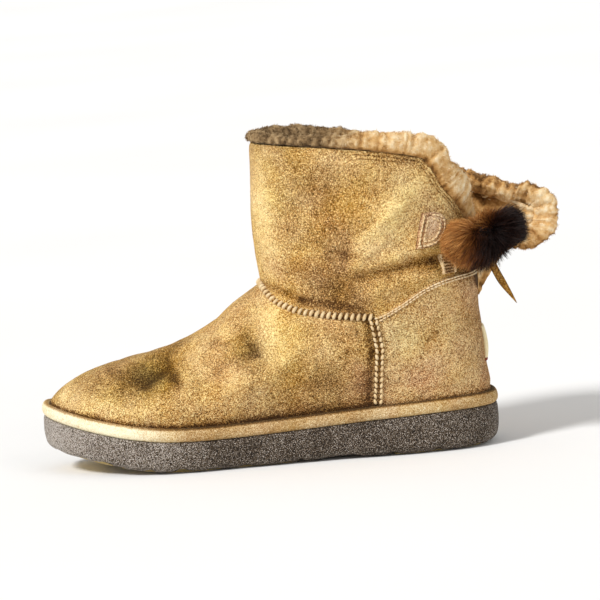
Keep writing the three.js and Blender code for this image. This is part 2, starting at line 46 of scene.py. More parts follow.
# Sizes and tables are in millimetres, with "along" from the heel's back; meshes are in metres
MM = 0.001
SOLE_LENGTH = 268.5
HEEL_SEAT = 40
GAP = 0.3
TREAD_PROUD = 1
WELT_HEIGHT = 8
WELT_OVERHANG = 5.5
WALL = 3
SHAFT_BACK = 8.5
FOCUS_ALONG = 112
FOCUS_HEIGHT = 91
OUTER_SIDE = 47
END_ROUNDNESS = 0.75
SHAFT_ROUNDNESS = 0.85
WELT_LEVEL = 0.14
SPLIT_BOTTOM = 1.06
SIDE_SWELL = 3
FLARE_FROM = 0.5
VAMP_FROM = 0.35
VAMP_FULL = 0.95


def table(columns, rows):
    return dict(zip(columns.split(), np.array(rows, dtype=float).T))


PLAN = table("share left right middle", [
    (0, 52, 52, 0), (0.185, 45, 45, 0), (0.37, 39, 34.5, 0), (0.556, 43, 41, 0),
    (0.685, 50.5, 51.5, -1), (0.8, 54, 55, -3.5), (0.9, 53.5, 53.5, -7.5), (1, 50, 50, -11)])
SOLE = table("along bottom top", [
    (0, 2.5, 23.5), (14, 0, 23.5), (70, 0, 22), (92, 1, 20.8), (120, 0, 19.5), (165, 0, 18.2),
    (190, 0, 18.6), (214, 2.2, 21), (232, 5.6, 24.2), (250, 9.8, 28.4), (270, 15, 34)])
SOLE_SIDE = table("share inset", [
    (0, 4.6), (0.07, 2.4), (0.2, 1.2), (0.55, 0.4), (0.9, 0.6), (1, 1.3)])
WELT_SIDE = table("rise inset", [
    (0, 1.8), (0.14, 0.5), (0.4, 0), (0.7, 0.4), (0.92, 1.8), (1, 3.4)])
VAMP = table("step inward rise", [
    (0, 0, 0), (0.1, 0.03, 0.075), (0.2, 0.09, 0.16), (0.3, 0.17, 0.24), (0.4, 0.275, 0.31),
    (0.5, 0.39, 0.365), (0.6, 0.52, 0.435), (0.7, 0.655, 0.53), (0.8, 0.775, 0.65),
    (0.9, 0.89, 0.845), (1, 1, 1)])
RINGS = table("share throat collar", [
    (0, 80, 160), (0.22, 81, 172.4), (0.4, 82.2, 178), (0.65, 85, 182.6), (0.8, 88, 184.4),
    (0.92, 93.5, 185.6), (1, 103.5, 186)])
SHAFT = table("step front half end flare lean drop", [
    (0, 135, 43, 180, 0, 0, 0), (0.06, 135.6, 43.2, 180, 0, 0, 0), (0.2, 136.5, 43.8, 177, -5, 0, 0),
    (0.35, 137.1, 44.5, 172, -15, 0, 0), (0.5, 137.1, 45, 166, -25, 0, -7),
    (0.6, 136.6, 45.4, 162, -39, 1, -15), (0.67, 136.2, 45.6, 158, -46, 2, -15),
    (0.75, 135.6, 45.8, 150, -52, 6, -16), (0.84, 135, 46, 138, -58, 12, -16),
    (0.93, 134.5, 46, 131, -56, 14, -20), (1, 134.2, 46, 124, -44, 14, -22)])


def ease(low, high, value):
    share = np.clip((np.asarray(value, dtype=float) - low) / (high - low), 0, 1)
    return share * share * (3 - 2 * share)


def mix(low, high, share):
    return low + (high - low) * share


def unit(ways):
    return ways / np.linalg.norm(ways, axis=-1, keepdims=True)


# 1 at zero distance, falling off softly over a width
def bell(distance, width):
    return np.exp(-(distance / width) ** 2)


def circle(count):
    return np.linspace(0, 2 * np.pi, count, endpoint=False)


# Points moved along their normals by a distance for each
def lifted(place, normal, distance):
    return place + normal * distance[..., None]


# Distance along a path of points, from its start
def path_length(points):
    step = np.linalg.norm(np.diff(points, axis=0), axis=-1)
    return np.concatenate([np.zeros_like(step[:1]), np.cumsum(step, axis=0)])


# Smooth curve through one column of a table, without overshoot
def read(rows, key, column, at):
    keys, values = rows[key], rows[column]
    slope = np.diff(values) / np.diff(keys)
    before, after = slope[:-1], slope[1:]
    product = before * after
    total = np.where(product > 0, before + after, 1)
    inner = np.where(product > 0, 2 * product / total, 0)
    tangent = np.concatenate([slope[:1], inner, slope[-1:]])
    at = np.clip(np.asarray(at, dtype=float), keys[0], keys[-1])
    row = np.clip(np.searchsorted(keys, at, side="right") - 1, 0, len(keys) - 2)
    width = keys[row + 1] - keys[row]
    t = (at - keys[row]) / width
    return (values[row] * (1 + 2 * t) * (1 - t) ** 2 + tangent[row] * width * t * (1 - t) ** 2
            + values[row + 1] * t * t * (3 - 2 * t) + tangent[row + 1] * width * t * t * (t - 1))


def sole_top(along):
    return read(SOLE, "along", "top", along)


def sole_bottom(along):
    return TREAD_PROUD + read(SOLE, "along", "bottom", along)


def plan_edge(angle):
    share = (1 + np.cos(angle)) / 2
    side = np.sin(angle)
    half = np.where(side >= 0, read(PLAN, "share", "left", share), read(PLAN, "share", "right", share))
    across = read(PLAN, "share", "middle", share) + np.sign(side) * half * np.abs(side) ** END_ROUNDNESS
    return np.stack([SOLE_LENGTH * share, across], axis=-1)


# The welt's outline in plan, moved inwards square to itself
def plan(angle, inset):
    step = 0.03
    run = unit(plan_edge(angle + step) - plan_edge(angle - step))
    inward = np.stack([-run[..., 1], run[..., 0]], axis=-1)
    return plan_edge(angle) + inward * np.asarray(inset)[..., None]


def foot_point(angle, lift):
    edge = plan(angle, np.full(np.shape(angle), WELT_OVERHANG))
    return np.concatenate([edge, (sole_top(edge[..., 0]) + GAP + lift)[..., None]], axis=-1)


def shaft_point(angle, step):
    share = (1 + np.cos(angle)) / 2
    side = np.sin(angle)
    front = read(SHAFT, "step", "front", step)
    half = read(SHAFT, "step", "half", step)
    height = mix(read(RINGS, "share", "throat", share), read(RINGS, "share", "collar", share), step)
    across = np.sign(side) * half * np.abs(side) ** SHAFT_ROUNDNESS
    return np.stack([mix(SHAFT_BACK, front, share), across, height], axis=-1)


# Outside of the upper, where turn runs from the inner split edge (-1) by the toe (0) to the outer one (1)
def skin(turn, level):
    # Level runs from the sole (0) by the ankle seam (1) to the collar (2)
    turn, level = np.broadcast_arrays(np.asarray(turn, dtype=float), np.asarray(level, dtype=float))
    low = level <= SPLIT_BOTTOM
    end = np.where(low, 180, read(SHAFT, "step", "end", np.maximum(level - 1, 0)))
    angle = turn * np.radians(end)
    clear = WELT_HEIGHT + 1
    foot = foot_point(angle, clear * np.minimum(level / WELT_LEVEL, 1))
    step = np.clip((level - WELT_LEVEL) / (1 - WELT_LEVEL), 0, 1)
    shaft = shaft_point(angle, np.maximum(level - 1, 0))
    vamp = ease(VAMP_FROM, VAMP_FULL, (1 + np.cos(angle)) / 2)
    inward = mix(step, read(VAMP, "step", "inward", step), vamp)
    rise = mix(step, read(VAMP, "step", "rise", step), vamp)
    point = np.stack([
        mix(foot[..., 0], shaft[..., 0], inward),
        mix(foot[..., 1], shaft[..., 1], inward) + SIDE_SWELL * np.sin(np.pi * step) * np.sin(angle),
        mix(foot[..., 2], shaft[..., 2], rise)], axis=-1)
    point = np.where((level >= 1)[..., None], shaft, point)
    flap = np.where((turn < 0) & ~low, ease(FLARE_FROM, 1, -turn), 0)
    for axis, column in enumerate(("flare", "lean", "drop")):
        point[..., axis] += flap * read(SHAFT, "step", column, np.maximum(level - 1, 0))
    return point


def skin_normal(turn, level):
    step = 0.01
    turn, level = np.broadcast_arrays(np.asarray(turn, dtype=float), np.asarray(level, dtype=float))
    low = level <= SPLIT_BOTTOM

    def around(to):
        return np.where(low, (to + 3) % 2 - 1, np.clip(to, -1, 1))
    up = skin(turn, np.minimum(2, level + step)) - skin(turn, np.maximum(0, level - step))
    across = skin(around(turn + step), level) - skin(around(turn - step), level)
    return unit(np.cross(across, up))


# Turn and level of points seen from the side
def locate(along, height, side):
    trial_turn, trial_level = np.meshgrid(np.linspace(0.03, 0.999, 240), np.linspace(0.05, 2, 300))
    sample = skin(side * trial_turn, trial_level)
    turns, levels = [], []
    for place, rise in zip(along, height):
        best = np.argmin((sample[..., 0] - place) ** 2 + (sample[..., 2] - rise) ** 2)
        turns.append(trial_turn.flat[best])
        levels.append(trial_level.flat[best])
    turn, level = np.array(turns), np.array(levels)
    target = np.stack([along, height], axis=-1)
    step = 0.002
    for _ in range(3):
        here = skin(side * turn, level)[:, [0, 2]]
        by_turn = (skin(side * (turn - step), level)[:, [0, 2]] - here) / -step
        by_level = (skin(side * turn, level - step)[:, [0, 2]] - here) / -step
        det = by_turn[:, 0] * by_level[:, 1] - by_turn[:, 1] * by_level[:, 0]
        miss = target - here
        turn = np.clip(turn + (miss[:, 0] * by_level[:, 1] - miss[:, 1] * by_level[:, 0]) / det, 0.01, 1)
        level = np.clip(level + (by_turn[:, 0] * miss[:, 1] - by_turn[:, 1] * miss[:, 0]) / det, 0.02, 2)
    return side * turn, level


# Levels up to the split's foot and from there on, each part with its number of rows
def split_levels(first, last, low_rows, high_rows):
    low, high = np.linspace(first, SPLIT_BOTTOM, low_rows), np.linspace(SPLIT_BOTTOM, last, high_rows)
    return np.concatenate([low, high[1:]])


# Smooth random values over space, between -1 and 1
def lumps(points, size, seed):
    scaled = np.asarray(points) / size
    cell = np.floor(scaled)
    part = scaled - cell
    part = part * part * (3 - 2 * part)
    total = np.zeros(scaled.shape[:-1])
    for corner in np.ndindex(2, 2, 2):
        place = (cell + corner) @ np.array([127.1, 311.7, 74.7]) + seed * 17.31
        value = np.sin(place) * 43758.5453
        weight = np.prod(np.where(np.array(corner) == 1, part, 1 - part), axis=-1)
        total += weight * (value - np.floor(value))
    return total * 2 - 1


# Smooth random directions over space
def lump_ways(points, size, seed):
    return np.stack([lumps(points, size, seed + k) for k in (1, 2, 3)], axis=-1)


def linear(code):
    channels = [int(code[i:i + 2], 16) / 255 for i in (1, 3, 5)]
    return [c / 12.92 if c <= 0.04045 else ((c + 0.055) / 1.055) ** 2.4 for c in channels] + [1.0]


def add_piece(name, mesh, material, replaces):
    mesh.materials.append(material)
    piece = bpy.data.objects.new(name, mesh)
    bpy.context.collection.objects.link(piece)
    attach(piece, "root")
    if replaces:
        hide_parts(*replaces)


# Piece from points in millimetres, with values on its points for the material to read
def make_piece(name, points, faces, material, replaces=(), values=None):
    mesh = bpy.data.meshes.new(name)
    place = (np.asarray(points, dtype=float).reshape(-1, 3) - [HEEL_SEAT, 0, 0]) * MM
    faces = [list(face) for face in faces]
    used = np.unique(np.concatenate(faces))
    number = np.zeros(len(place), dtype=int)
    number[used] = np.arange(len(used))
    mesh.from_pydata(place[used].tolist(), [], [number[face].tolist() for face in faces])
    mesh.validate()
    mesh.polygons.foreach_set("use_smooth", np.ones(len(mesh.polygons), dtype=bool))
    for key, numbers in (values or {}).items():
        layer = mesh.attributes.new(key, "FLOAT", "POINT")
        layer.data.foreach_set("value", np.asarray(numbers, dtype=np.float32).ravel()[used])
    add_piece(name, mesh, material, replaces)


# Quads over a grid of points with the given numbers of rows and columns
def grid_faces(rows, columns, around=False, start=0):
    last = columns if around else columns - 1
    j, i = np.meshgrid(np.arange(rows - 1), np.arange(last), indexing="ij")
    near = start + j * columns
    return np.stack([near + i, near + (i + 1) % columns,
                     near + columns + (i + 1) % columns, near + columns + i], axis=-1).reshape(-1, 4)


# Faces of a row of rings, closed at both ends
def tube_faces(rows, sides):
    faces = grid_faces(rows, sides, around=True).tolist()
    faces.append(list(range(sides))[::-1])
    faces.append([(rows - 1) * sides + i for i in range(sides)])
    return faces


# Quads along the rim of a sheet, between its two faces; shift is from a point of one to that of the other
def rim_faces(near, after, shift):
    return np.stack([near, near + shift, after + shift, after], axis=-1)


# Values of a grid, for both faces of the sheet that is made from it
def both(values):
    return np.tile(values.ravel(), 2)


SHEEN_ROUGHNESS = 0.45


# Material made of nodes
class Shader:
    def __init__(self, name):
        self.material = bpy.data.materials.new(name)
        self.material.use_nodes = True
        self.nodes = self.material.node_tree.nodes
        self.links = self.material.node_tree.links
        self.surface = self.nodes["Principled BSDF"]
        self.place = self.nodes.new("ShaderNodeTexCoord").outputs["Object"]

    def node(self, kind, inputs=(), **settings):
        made = self.nodes.new(kind)
        for key, value in settings.items():
            setattr(made, key, value)
        for key, value in dict(inputs).items():
            if isinstance(value, bpy.types.NodeSocket):
                self.links.new(value, made.inputs[key])
            else:
                made.inputs[key].default_value = value
        return made

    # Noise whose features are about the given size in millimetres
    def noise(self, size, detail=2.0, rough=0.5, swirl=0.0):
        made = self.node("ShaderNodeTexNoise", {"Vector": self.place, "Scale": 1000 / size, "Detail": detail,
                                                "Roughness": rough, "Distortion": swirl})
        return made.outputs["Fac"]

    def value(self, name):
        return self.node("ShaderNodeAttribute", attribute_name=name).outputs["Fac"]

    def math(self, kind, a, b):
        return self.node("ShaderNodeMath", {0: a, 1: b}, operation=kind).outputs[0]

    # Sum of sources, each with its weight, about a middle value
    def blend(self, middle, parts):
        total = middle
        for source, weight in parts:
            total = self.math("ADD", total, self.math("MULTIPLY", self.math("SUBTRACT", source, 0.5), weight))
        return total

    def ramp(self, source, stops):
        made = self.node("ShaderNodeValToRGB", {"Fac": source})
        bar = made.color_ramp
        while len(bar.elements) < len(stops):
            bar.elements.new(0.5)
        for element, (place, code) in zip(bar.elements, stops):
            element.position = place
            element.color = linear(code)
        return made.outputs["Color"]

    def shade(self, a, b, share):
        made = self.node("ShaderNodeMix", {"Factor": share}, data_type="RGBA")
        for key, value in (("A_Color", a), ("B_Color", b)):
            socket = next(s for s in made.inputs if s.identifier == key)
            if isinstance(value, bpy.types.NodeSocket):
                self.links.new(value, socket)
            else:
                socket.default_value = linear(value)
        return next(s for s in made.outputs if s.identifier == "Result_Color")

    def bump(self, sources):
        normal = None
        for source, strength, depth in sources:
            inputs = {"Height": source, "Strength": strength, "Distance": depth * MM}
            if normal is not None:
                inputs["Normal"] = normal
            normal = self.node("ShaderNodeBump", inputs).outputs["Normal"]
        self.links.new(normal, self.surface.inputs["Normal"])

    def finish(self, color, roughness, sheen=0.0, sheen_tint="#ffffff", specular=0.3):
        self.links.new(color, self.surface.inputs["Base Color"])
        constants = {"Roughness": roughness, "Specular IOR Level": specular, "Sheen Weight": sheen,
                     "Sheen Roughness": SHEEN_ROUGHNESS, "Sheen Tint": linear(sheen_tint)}
        for key, value in constants.items():
            self.surface.inputs[key].default_value = value
        return self.material


# Hue and saturation of suede: middle, drift from place to place, and change for a hue value of 1
SUEDE_HUE = {"middle": 0.5035, "drift": 0.018, "step": 0.024}
SUEDE_RICHNESS = {"middle": 0.955, "drift": 0.3}


# Suede with nap, wrinkled grit and clouds; the point values "tone" and "hue" shift its colour
def suede_material(name, stops, grain=1.0):
    shader = Shader(name)
    nap = shader.noise(0.36, 1.0)
    grit = shader.noise(0.85, 1.0, 0.5, 1.0)
    tuft = shader.noise(2.0, 2.0, 0.55)
    crumple = shader.noise(4.5)
    mottle = shader.noise(9, 3.0, 0.6)
    cloud = shader.noise(30)
    weights = ((nap, 3.0), (grit, 1.3), (tuft, 0.2), (crumple, 0.24), (mottle, 0.22))
    parts = [(source, weight * grain) for source, weight in weights] + [(cloud, 0.38)]
    level = shader.math("ADD", shader.blend(0.0, parts), shader.value("tone"))
    relief = ((nap, 0.4, 0.25), (grit, 0.5, 0.35), (tuft, 0.35, 0.4), (crumple, 0.8, 1.2))
    bumps = [(source, strength * grain, depth) for source, strength, depth in relief]
    shader.bump(bumps + [(mottle, 0.7, 2.0)])
    hue = shader.blend(SUEDE_HUE["middle"], [(shader.noise(17), SUEDE_HUE["drift"])])
    hue = shader.math("ADD", hue, shader.math("MULTIPLY", shader.value("hue"), SUEDE_HUE["step"]))
    rich = shader.blend(SUEDE_RICHNESS["middle"], [(shader.noise(23), SUEDE_RICHNESS["drift"])])
    tinted = {"Color": shader.ramp(level, stops), "Hue": hue, "Saturation": rich}
    color = shader.node("ShaderNodeHueSaturation", tinted).outputs["Color"]
    return shader.finish(color, 0.9, sheen=0.1, sheen_tint="#f0d8a0", specular=0.12)


# Colours from dark to light at the places that the suedes share
def shades(*codes):
    return list(zip((0.0, 0.28, 0.5, 0.72, 1.0), codes))


suede = suede_material("suede", shades("#3b2208", "#87561d", "#bd863f", "#e2b164", "#fae3a2"))
counter_suede = suede_material(
    "counter_suede", shades("#40260c", "#8a5b27", "#ba8644", "#d9ab68", "#f2dba0"), 1.2)
welt_suede = suede_material("welt_suede", shades("#3a2510", "#866030", "#b88e56", "#dec79a", "#f4eccc"), 0.45)
tab_suede = suede_material("tab_suede", shades("#46280e", "#946337", "#c6935e", "#e4b985", "#f7e3b9"), 0.9)
leather = suede_material("leather", [
    (0.0, "#2c1806"), (0.3, "#5a360e"), (0.5, "#855418"), (0.75, "#a8742e"), (1.0, "#c89a54")])


# Foam with a fine pebble
def sole_material():
    shader = Shader("sole_foam")
    cell = {"Vector": shader.place, "Scale": 1000 / 0.7}
    pebble = shader.node("ShaderNodeTexVoronoi", cell).outputs["Distance"]
    grain = shader.noise(0.4, 1.0)
    worm = shader.noise(0.9, 1.0, 0.5, 2.0)
    dirt = shader.noise(24, 3.0, 0.6)
    level = shader.blend(0.0, [(pebble, -1.0), (grain, 3.2), (worm, 1.3), (dirt, 0.5)])
    level = shader.math("ADD", level, shader.value("tone"))
    color = shader.ramp(level, [
        (0.0, "#160e07"), (0.3, "#382918"), (0.5, "#594833"), (0.72, "#897a69"), (1.0, "#cac1b8")])
    shader.bump([(pebble, 0.8, -0.6), (worm, 0.7, 0.6), (grain, 0.5, 0.35)])
    return shader.finish(color, 0.6, specular=0.25)


def gum_material():
    shader = Shader("gum")
    fine = shader.noise(1.2, 3.0, 0.6)
    wide = shader.noise(10.8)
    level = shader.blend(0.5, [(fine, 0.7), (wide, 0.5)])
    color = shader.ramp(level, [(0.1, "#9c8450"), (0.5, "#cdb57a"), (0.9, "#dfcb94")])
    shader.bump([(fine, 0.4, 0.3)])
    return shader.finish(color, 0.55)


sole_foam = sole_material()
gum = gum_material()


# Tan wool, mixed by the point value "front" towards a darker grey copy: painted shade
def wool_material():
    shader = Shader("wool")
    fine = shader.noise(0.8, 2.0, 0.6)
    clump = shader.noise(3.5, 3.0, 0.6)
    level = shader.blend(0.0, [(fine, 0.4), (clump, 0.5)])
    level = shader.math("ADD", level, shader.value("tone"))
    tan = shader.ramp(level, [
        (0.0, "#64421e"), (0.25, "#aa7c46"), (0.47, "#d0a468"), (0.68, "#e2c290"), (1.0, "#f5e6c6")])
    shaded_grey = shader.ramp(level, [(0.0, "#281b10"), (0.3, "#5a442c"), (0.6, "#907552"), (1.0, "#c6ab82")])
    color = shader.shade(tan, shaded_grey, shader.value("front"))
    shader.bump([(fine, 0.5, 0.4), (clump, 0.4, 1.0)])
    return shader.finish(color, 0.95, sheen=0.25, sheen_tint="#f4dcb0", specular=0.12)


# Hairs from root to tip by the point value "along", from dark to russet by "tint"; the lighter tips are
# partly the fur's colour and partly painted light
def fur_material():
    shader = Shader("fur")
    along = shader.value("along")
    tint = shader.value("tint")
    root = shader.ramp(tint, [(0.1, "#120806"), (0.45, "#381a0a"), (0.9, "#8e5220")])
    tip = shader.ramp(tint, [(0.05, "#1e1210"), (0.3, "#522912"), (0.55, "#9c5e24"), (0.95, "#dca05a")])
    share = shader.ramp(along, [(0.12, "#000000"), (0.9, "#ffffff")])
    color = shader.shade(root, tip, share)
    return shader.finish(color, 0.5, specular=0.25)


def thread_material(name, dark, mid, light):
    shader = Shader(name)
    fine = shader.noise(0.7, 3.0, 0.6)
    wide = shader.noise(7)
    level = shader.blend(0.5, [(fine, 0.6), (wide, 0.6)])
    color = shader.ramp(level, [(0.1, dark), (0.45, mid), (0.85, light)])
    shader.bump([(fine, 0.5, 0.3)])
    return shader.finish(color, 0.8, sheen=0.2, sheen_tint="#fff0d0", specular=0.2)


# Plain woven label, with its lower edge bound in red by the point value "bound"
def label_material():
    shader = Shader("label_weave")
    weave = shader.noise(0.5, 1.0)
    fine = shader.noise(4, 2.0, 0.6)
    bound = shader.value("bound")
    level = shader.blend(0.5, [(weave, 0.6), (fine, 0.4)])
    field = shader.ramp(level, [(0.1, "#cdb688"), (0.5, "#ecdcb0"), (0.9, "#f7eed2")])
    color = shader.shade(field, "#7a2f22", shader.ramp(bound, [(0.35, "#000000"), (0.6, "#ffffff")]))
    shader.bump([(weave, 0.4, 0.3)])
    return shader.finish(color, 0.8, specular=0.25)


wool = wool_material()
fur = fur_material()
seam_thread = thread_material("seam_thread", "#96703e", "#dcbf90", "#f6e6c0")
pale_thread = thread_material("pale_thread", "#b08c60", "#e4caa0", "#f8e8c8")
label_weave = label_material()

# Creases placed one by one, seen from the side, each from one point to another; a trough's rise is below zero
# The tone column is painted shade in the troughs and in the dips beside the seams, painted highlight on the
# ridges and rolls, and at the flex dent also dirt
CREASES = table("along height to_along to_height width rise tone", [
    # The fold across the shaft, the roll under it and the lip over it
    (30, 114.5, 77, 105.5, 3.1, -3.0, -0.22), (34, 104.5, 72, 97.5, 5.5, 2.8, 0.0),
    (30, 121, 60, 116.5, 4.5, 1.5, 0.1),
    # The shaft's long dent and ridge, and the fan of wrinkles between them
    (94, 164, 85, 106, 9, -2.4, -0.08), (78, 119, 47, 153, 7, 2.2, 0.15), (74, 130, 50, 146, 2.2, 0.9, 0.05),
    (82, 127, 66, 139, 2.4, -1.2, -0.12), (80, 113, 62, 126, 2.2, 1.0, 0.08),
    (86, 121, 70, 116, 2.2, -1.0, -0.12),
    # The ankle's dent, and the dips over the ankle seam and before the side seam
    (118, 106, 92, 98, 7, -1.8, -0.08), (134, 107, 112, 95.5, 2.2, -0.9, -0.26),
    (112, 95.5, 76, 87, 2.6, -1.0, -0.3), (74.2, 82, 72.6, 62, 1.9, -0.8, -0.36),
    (72.6, 62, 76, 34, 1.9, -0.8, -0.36),
    # The flex over the ball: dent, groove, ridge and wrinkles
    (206, 57, 195, 60, 9, -3.0, -0.12), (194, 71, 186, 51, 2.8, -2.2, -0.2), (169, 72, 181, 47, 6, 2.2, 0.0),
    (227, 63, 203, 52, 3, -1.0, -0.14), (212, 66, 198, 72, 2.2, -0.9, -0.14),
    (207, 54, 195, 62, 2.0, -0.9, -0.16), (178, 60, 165, 65, 1.9, -0.7, -0.12),
    # The instep's wrinkles, folds and ridges
    (164, 73, 147, 77, 2.0, -0.8, -0.12), (150, 66, 175, 51, 2.5, -0.9, -0.1),
    (150, 81, 139, 67, 2.8, -1.1, -0.14), (141, 62, 158, 47, 3.2, 0.9, 0.08),
    (114, 69, 130, 56, 4, 0.9, 0.06), (196, 49, 184, 43, 3, -0.9, -0.1), (147, 84, 141, 60, 6, -1.9, -0.1),
    (132, 88, 125, 62, 7, 1.6, 0.1), (166, 84, 158, 78, 3, -1.0, -0.05), (106, 54, 92, 42, 8, -1.2, -0.06)])

# Soft oval spots of wear and dirt, and of painted shade and highlights (shadows of the shaft's fold and of
# the bow, shade along the welt and beside the side seam, lit toe, front edge and ridges), seen from the side
WEAR_SHADE_AND_HIGHLIGHTS = table("along height long high tone", [
    (203, 59, 10, 5.5, -0.34), (194, 66, 7, 7, -0.18), (212, 62, 10, 6, -0.12), (188, 56, 3.5, 5, -0.2),
    (225, 66, 14, 5, -0.10), (220, 51, 5, 6, -0.17), (236, 56, 7, 6, -0.12), (244, 42, 22, 5, 0.17),
    (256, 52, 6, 6, 0.28), (215, 38, 14, 5, 0.12), (174, 64, 5, 11, 0.06), (183, 45, 5, 5, 0.12),
    (155, 50, 6, 12, 0.14), (145, 68, 6, 9, -0.16), (141, 72, 4, 6, -0.08), (150, 88, 6, 6, -0.06),
    (128, 82, 8, 12, 0.16), (163, 80, 10, 5, 0.08), (165, 38, 12, 5, 0.06), (116, 72, 8, 7, 0.10),
    (102, 62, 8, 9, 0.08), (100, 46, 14, 5, -0.10), (78, 44, 4, 9, -0.24), (84, 60, 5, 8, 0.06),
    (96, 33, 26, 3, -0.24), (134, 29, 22, 3, -0.24), (175, 28, 16, 2.5, -0.12), (131, 148, 7, 36, 0.26),
    (110, 172, 6, 10, -0.10), (103, 140, 8, 12, 0.07), (114, 116, 7, 4, -0.13), (94, 101, 9, 8, -0.16),
    (84, 120, 4, 5, -0.2), (76, 138, 4, 4, -0.14), (55, 142, 9, 9, 0.10), (66, 172, 16, 8, 0.07),
    (33, 110, 5, 3.5, -0.3), (66, 96, 9, 4, 0.04), (100, 110, 11, 6, -0.12), (58, 130, 8, 9, 0.07),
    (82, 95, 7, 6, -0.12), (44, 160, 8, 10, 0.05), (24, 147, 6, 9, 0.16), (44, 128, 10, 7, 0.10),
    (187, 75, 7, 6, -0.3), (124, 125, 7, 30, 0.12), (175, 55, 7, 16, 0.1), (152, 82, 8, 8, 0.1),
    (36, 158, 8, 13, 0.12), (118, 39, 15, 8, -0.1), (95, 90, 10, 4, -0.1), (105, 160, 8, 14, -0.09),
    (14, 106, 9, 5, -0.35)])

# Where the suede turns yellower (above zero) or redder, seen from the side
HUES = table("along height long high hue", [
    (202, 59, 14, 10, 0.9), (145, 70, 9, 9, 0.5), (52, 72, 14, 13, 0.5), (46, 46, 14, 9, -0.6),
    (16, 92, 9, 10, -0.4), (8, 44, 4, 12, -0.4), (80, 48, 6, 14, -0.4), (100, 112, 30, 8, -0.12),
    (116, 64, 14, 14, 0.2), (230, 48, 20, 10, 0.25), (120, 160, 12, 20, 0.2), (52, 140, 16, 16, 0.1),
    (90, 140, 12, 18, -0.05), (160, 62, 8, 14, -0.2)])


def segment_distance(along, height, a, b):
    a, b = np.array(a, dtype=float), np.array(b, dtype=float)
    run = b - a
    share = ((along - a[0]) * run[0] + (height - a[1]) * run[1]) / (run @ run)
    share = np.clip(share, 0, 1)
    return np.hypot(along - a[0] - share * run[0], height - a[1] - share * run[1])


# Height of points in the photo's side view, lifted with their distance from the boot's outer side
def side_height(points):
    rise = math.radians(PHOTO_ELEVATION)
    return points[..., 2] * math.cos(rise) + (OUTER_SIDE - points[..., 1]) * math.sin(rise)


# The same, with the inner half of the boot seen as the outer half is
def seen_height(points):
    return side_height(np.stack([points[..., 0], np.abs(points[..., 1]), points[..., 2]], axis=-1))


# Sum of a table's soft oval spots
def spots(rows, along, height):
    total = np.zeros(along.shape)
    for a, h, long, high, amount in zip(*rows.values()):
        total += amount * np.exp(-((along - a) / long) ** 2 - ((height - h) / high) ** 2)
    return total


def hue_at(points):
    return spots(HUES, points[..., 0], seen_height(points))


# Strength of the painted shade and highlights and of the colours of wear
TONE_DEPTH = 1.22

# The inner side's creases: how far they lie behind the outer side's, and their share of height and colour
INNER_SHIFT = 7
INNER_RISE = 0.75
INNER_TONE = 0.4

# Half the band over which the two sides blend, and the hide's unevenness
MIDDLE_BAND = 15
UNEVEN = table("size seed rise", [(26, 3, 0.8), (12, 5, 0.45), (6, 6, 0.2)])


# Height and tone that creases, wear and painted shade and highlights give to points of the upper
def creased(points):
    outer = ease(-MIDDLE_BAND, MIDDLE_BAND, points[..., 1])
    along, height = points[..., 0] + INNER_SHIFT * (1 - outer), seen_height(points)
    rise = np.zeros(along.shape)
    tone = np.zeros(along.shape)
    for a, h, to_a, to_h, width, high, shade in zip(*CREASES.values()):
        near = bell(segment_distance(along, height, (a, h), (to_a, to_h)), width)
        rise += high * near
        tone += shade * near
    tone += spots(WEAR_SHADE_AND_HIGHLIGHTS, along, height)
    rise += sum(high * lumps(points, size, seed) for size, seed, high in zip(*UNEVEN.values()))
    return rise * mix(INNER_RISE, 1, outer), TONE_DEPTH * tone * mix(INNER_TONE, 1, outer)


# Fold lines beside the collar and the split: how far inside the edge, how deep, how dark their painted shade
# is, and where they run
HEM_LINES = [(3.4, 0.5), (6.8, 0.35)]
HEM_WIDTH = 1.0
HEM_SHADE = 0.4
HEM_LEVEL = 1.35
HEM_TURN = 0.75
NO_EDGE = 99

# Painted shade along the edge and in the groove over the welt, and the levels over which the creases fade out
# at foot and collar
EDGE_SHADE = 0.3
WELT_SHADE = 0.6
WELT_SHADE_HEIGHT = 1.7
FOOT_FADE = 0.08
COLLAR_FADE = 0.03


# Outside of the upper with its creases: points, normals and tone
def hide(turn, level):
    base = skin(turn, level)
    normal = skin_normal(turn, level)
    rise, tone = creased(base)
    free = ease(WELT_LEVEL, WELT_LEVEL + FOOT_FADE, level) * ease(0, COLLAR_FADE, 2 - np.asarray(level))
    from_split = np.linalg.norm(base - skin(np.where(turn >= 0, 1, -1), level), axis=-1)
    from_split = np.where(level > HEM_LEVEL, from_split, NO_EDGE)
    from_collar = np.linalg.norm(base - skin(turn, np.full(np.shape(turn), 2.0)), axis=-1)
    from_collar = np.where(np.abs(turn) > HEM_TURN, from_collar, NO_EDGE)
    from_edge = np.minimum(from_split, from_collar)
    # Each fold line sinks and is darkened with painted shade
    for inset, depth in HEM_LINES:
        line = bell(from_edge - inset, HEM_WIDTH)
        rise = rise - depth * line
        tone = tone - HEM_SHADE * depth * line
    # Painted shade along the edge and in the groove where the upper meets the welt
    from_welt = base[..., 2] - sole_top(base[..., 0]) - WELT_HEIGHT
    tone = tone - EDGE_SHADE * bell(from_edge, HEM_WIDTH) - WELT_SHADE * bell(from_welt, WELT_SHADE_HEIGHT)
    return lifted(base, normal, rise * free), normal, tone


# Upper: hollow wall with its creases
UPPER_TONE = 0.455
UPPER_TONE_RANGE = (-0.5, 1.2)
UPPER_GRID = {"columns": 292, "low_rows": 86, "high_rows": 76}


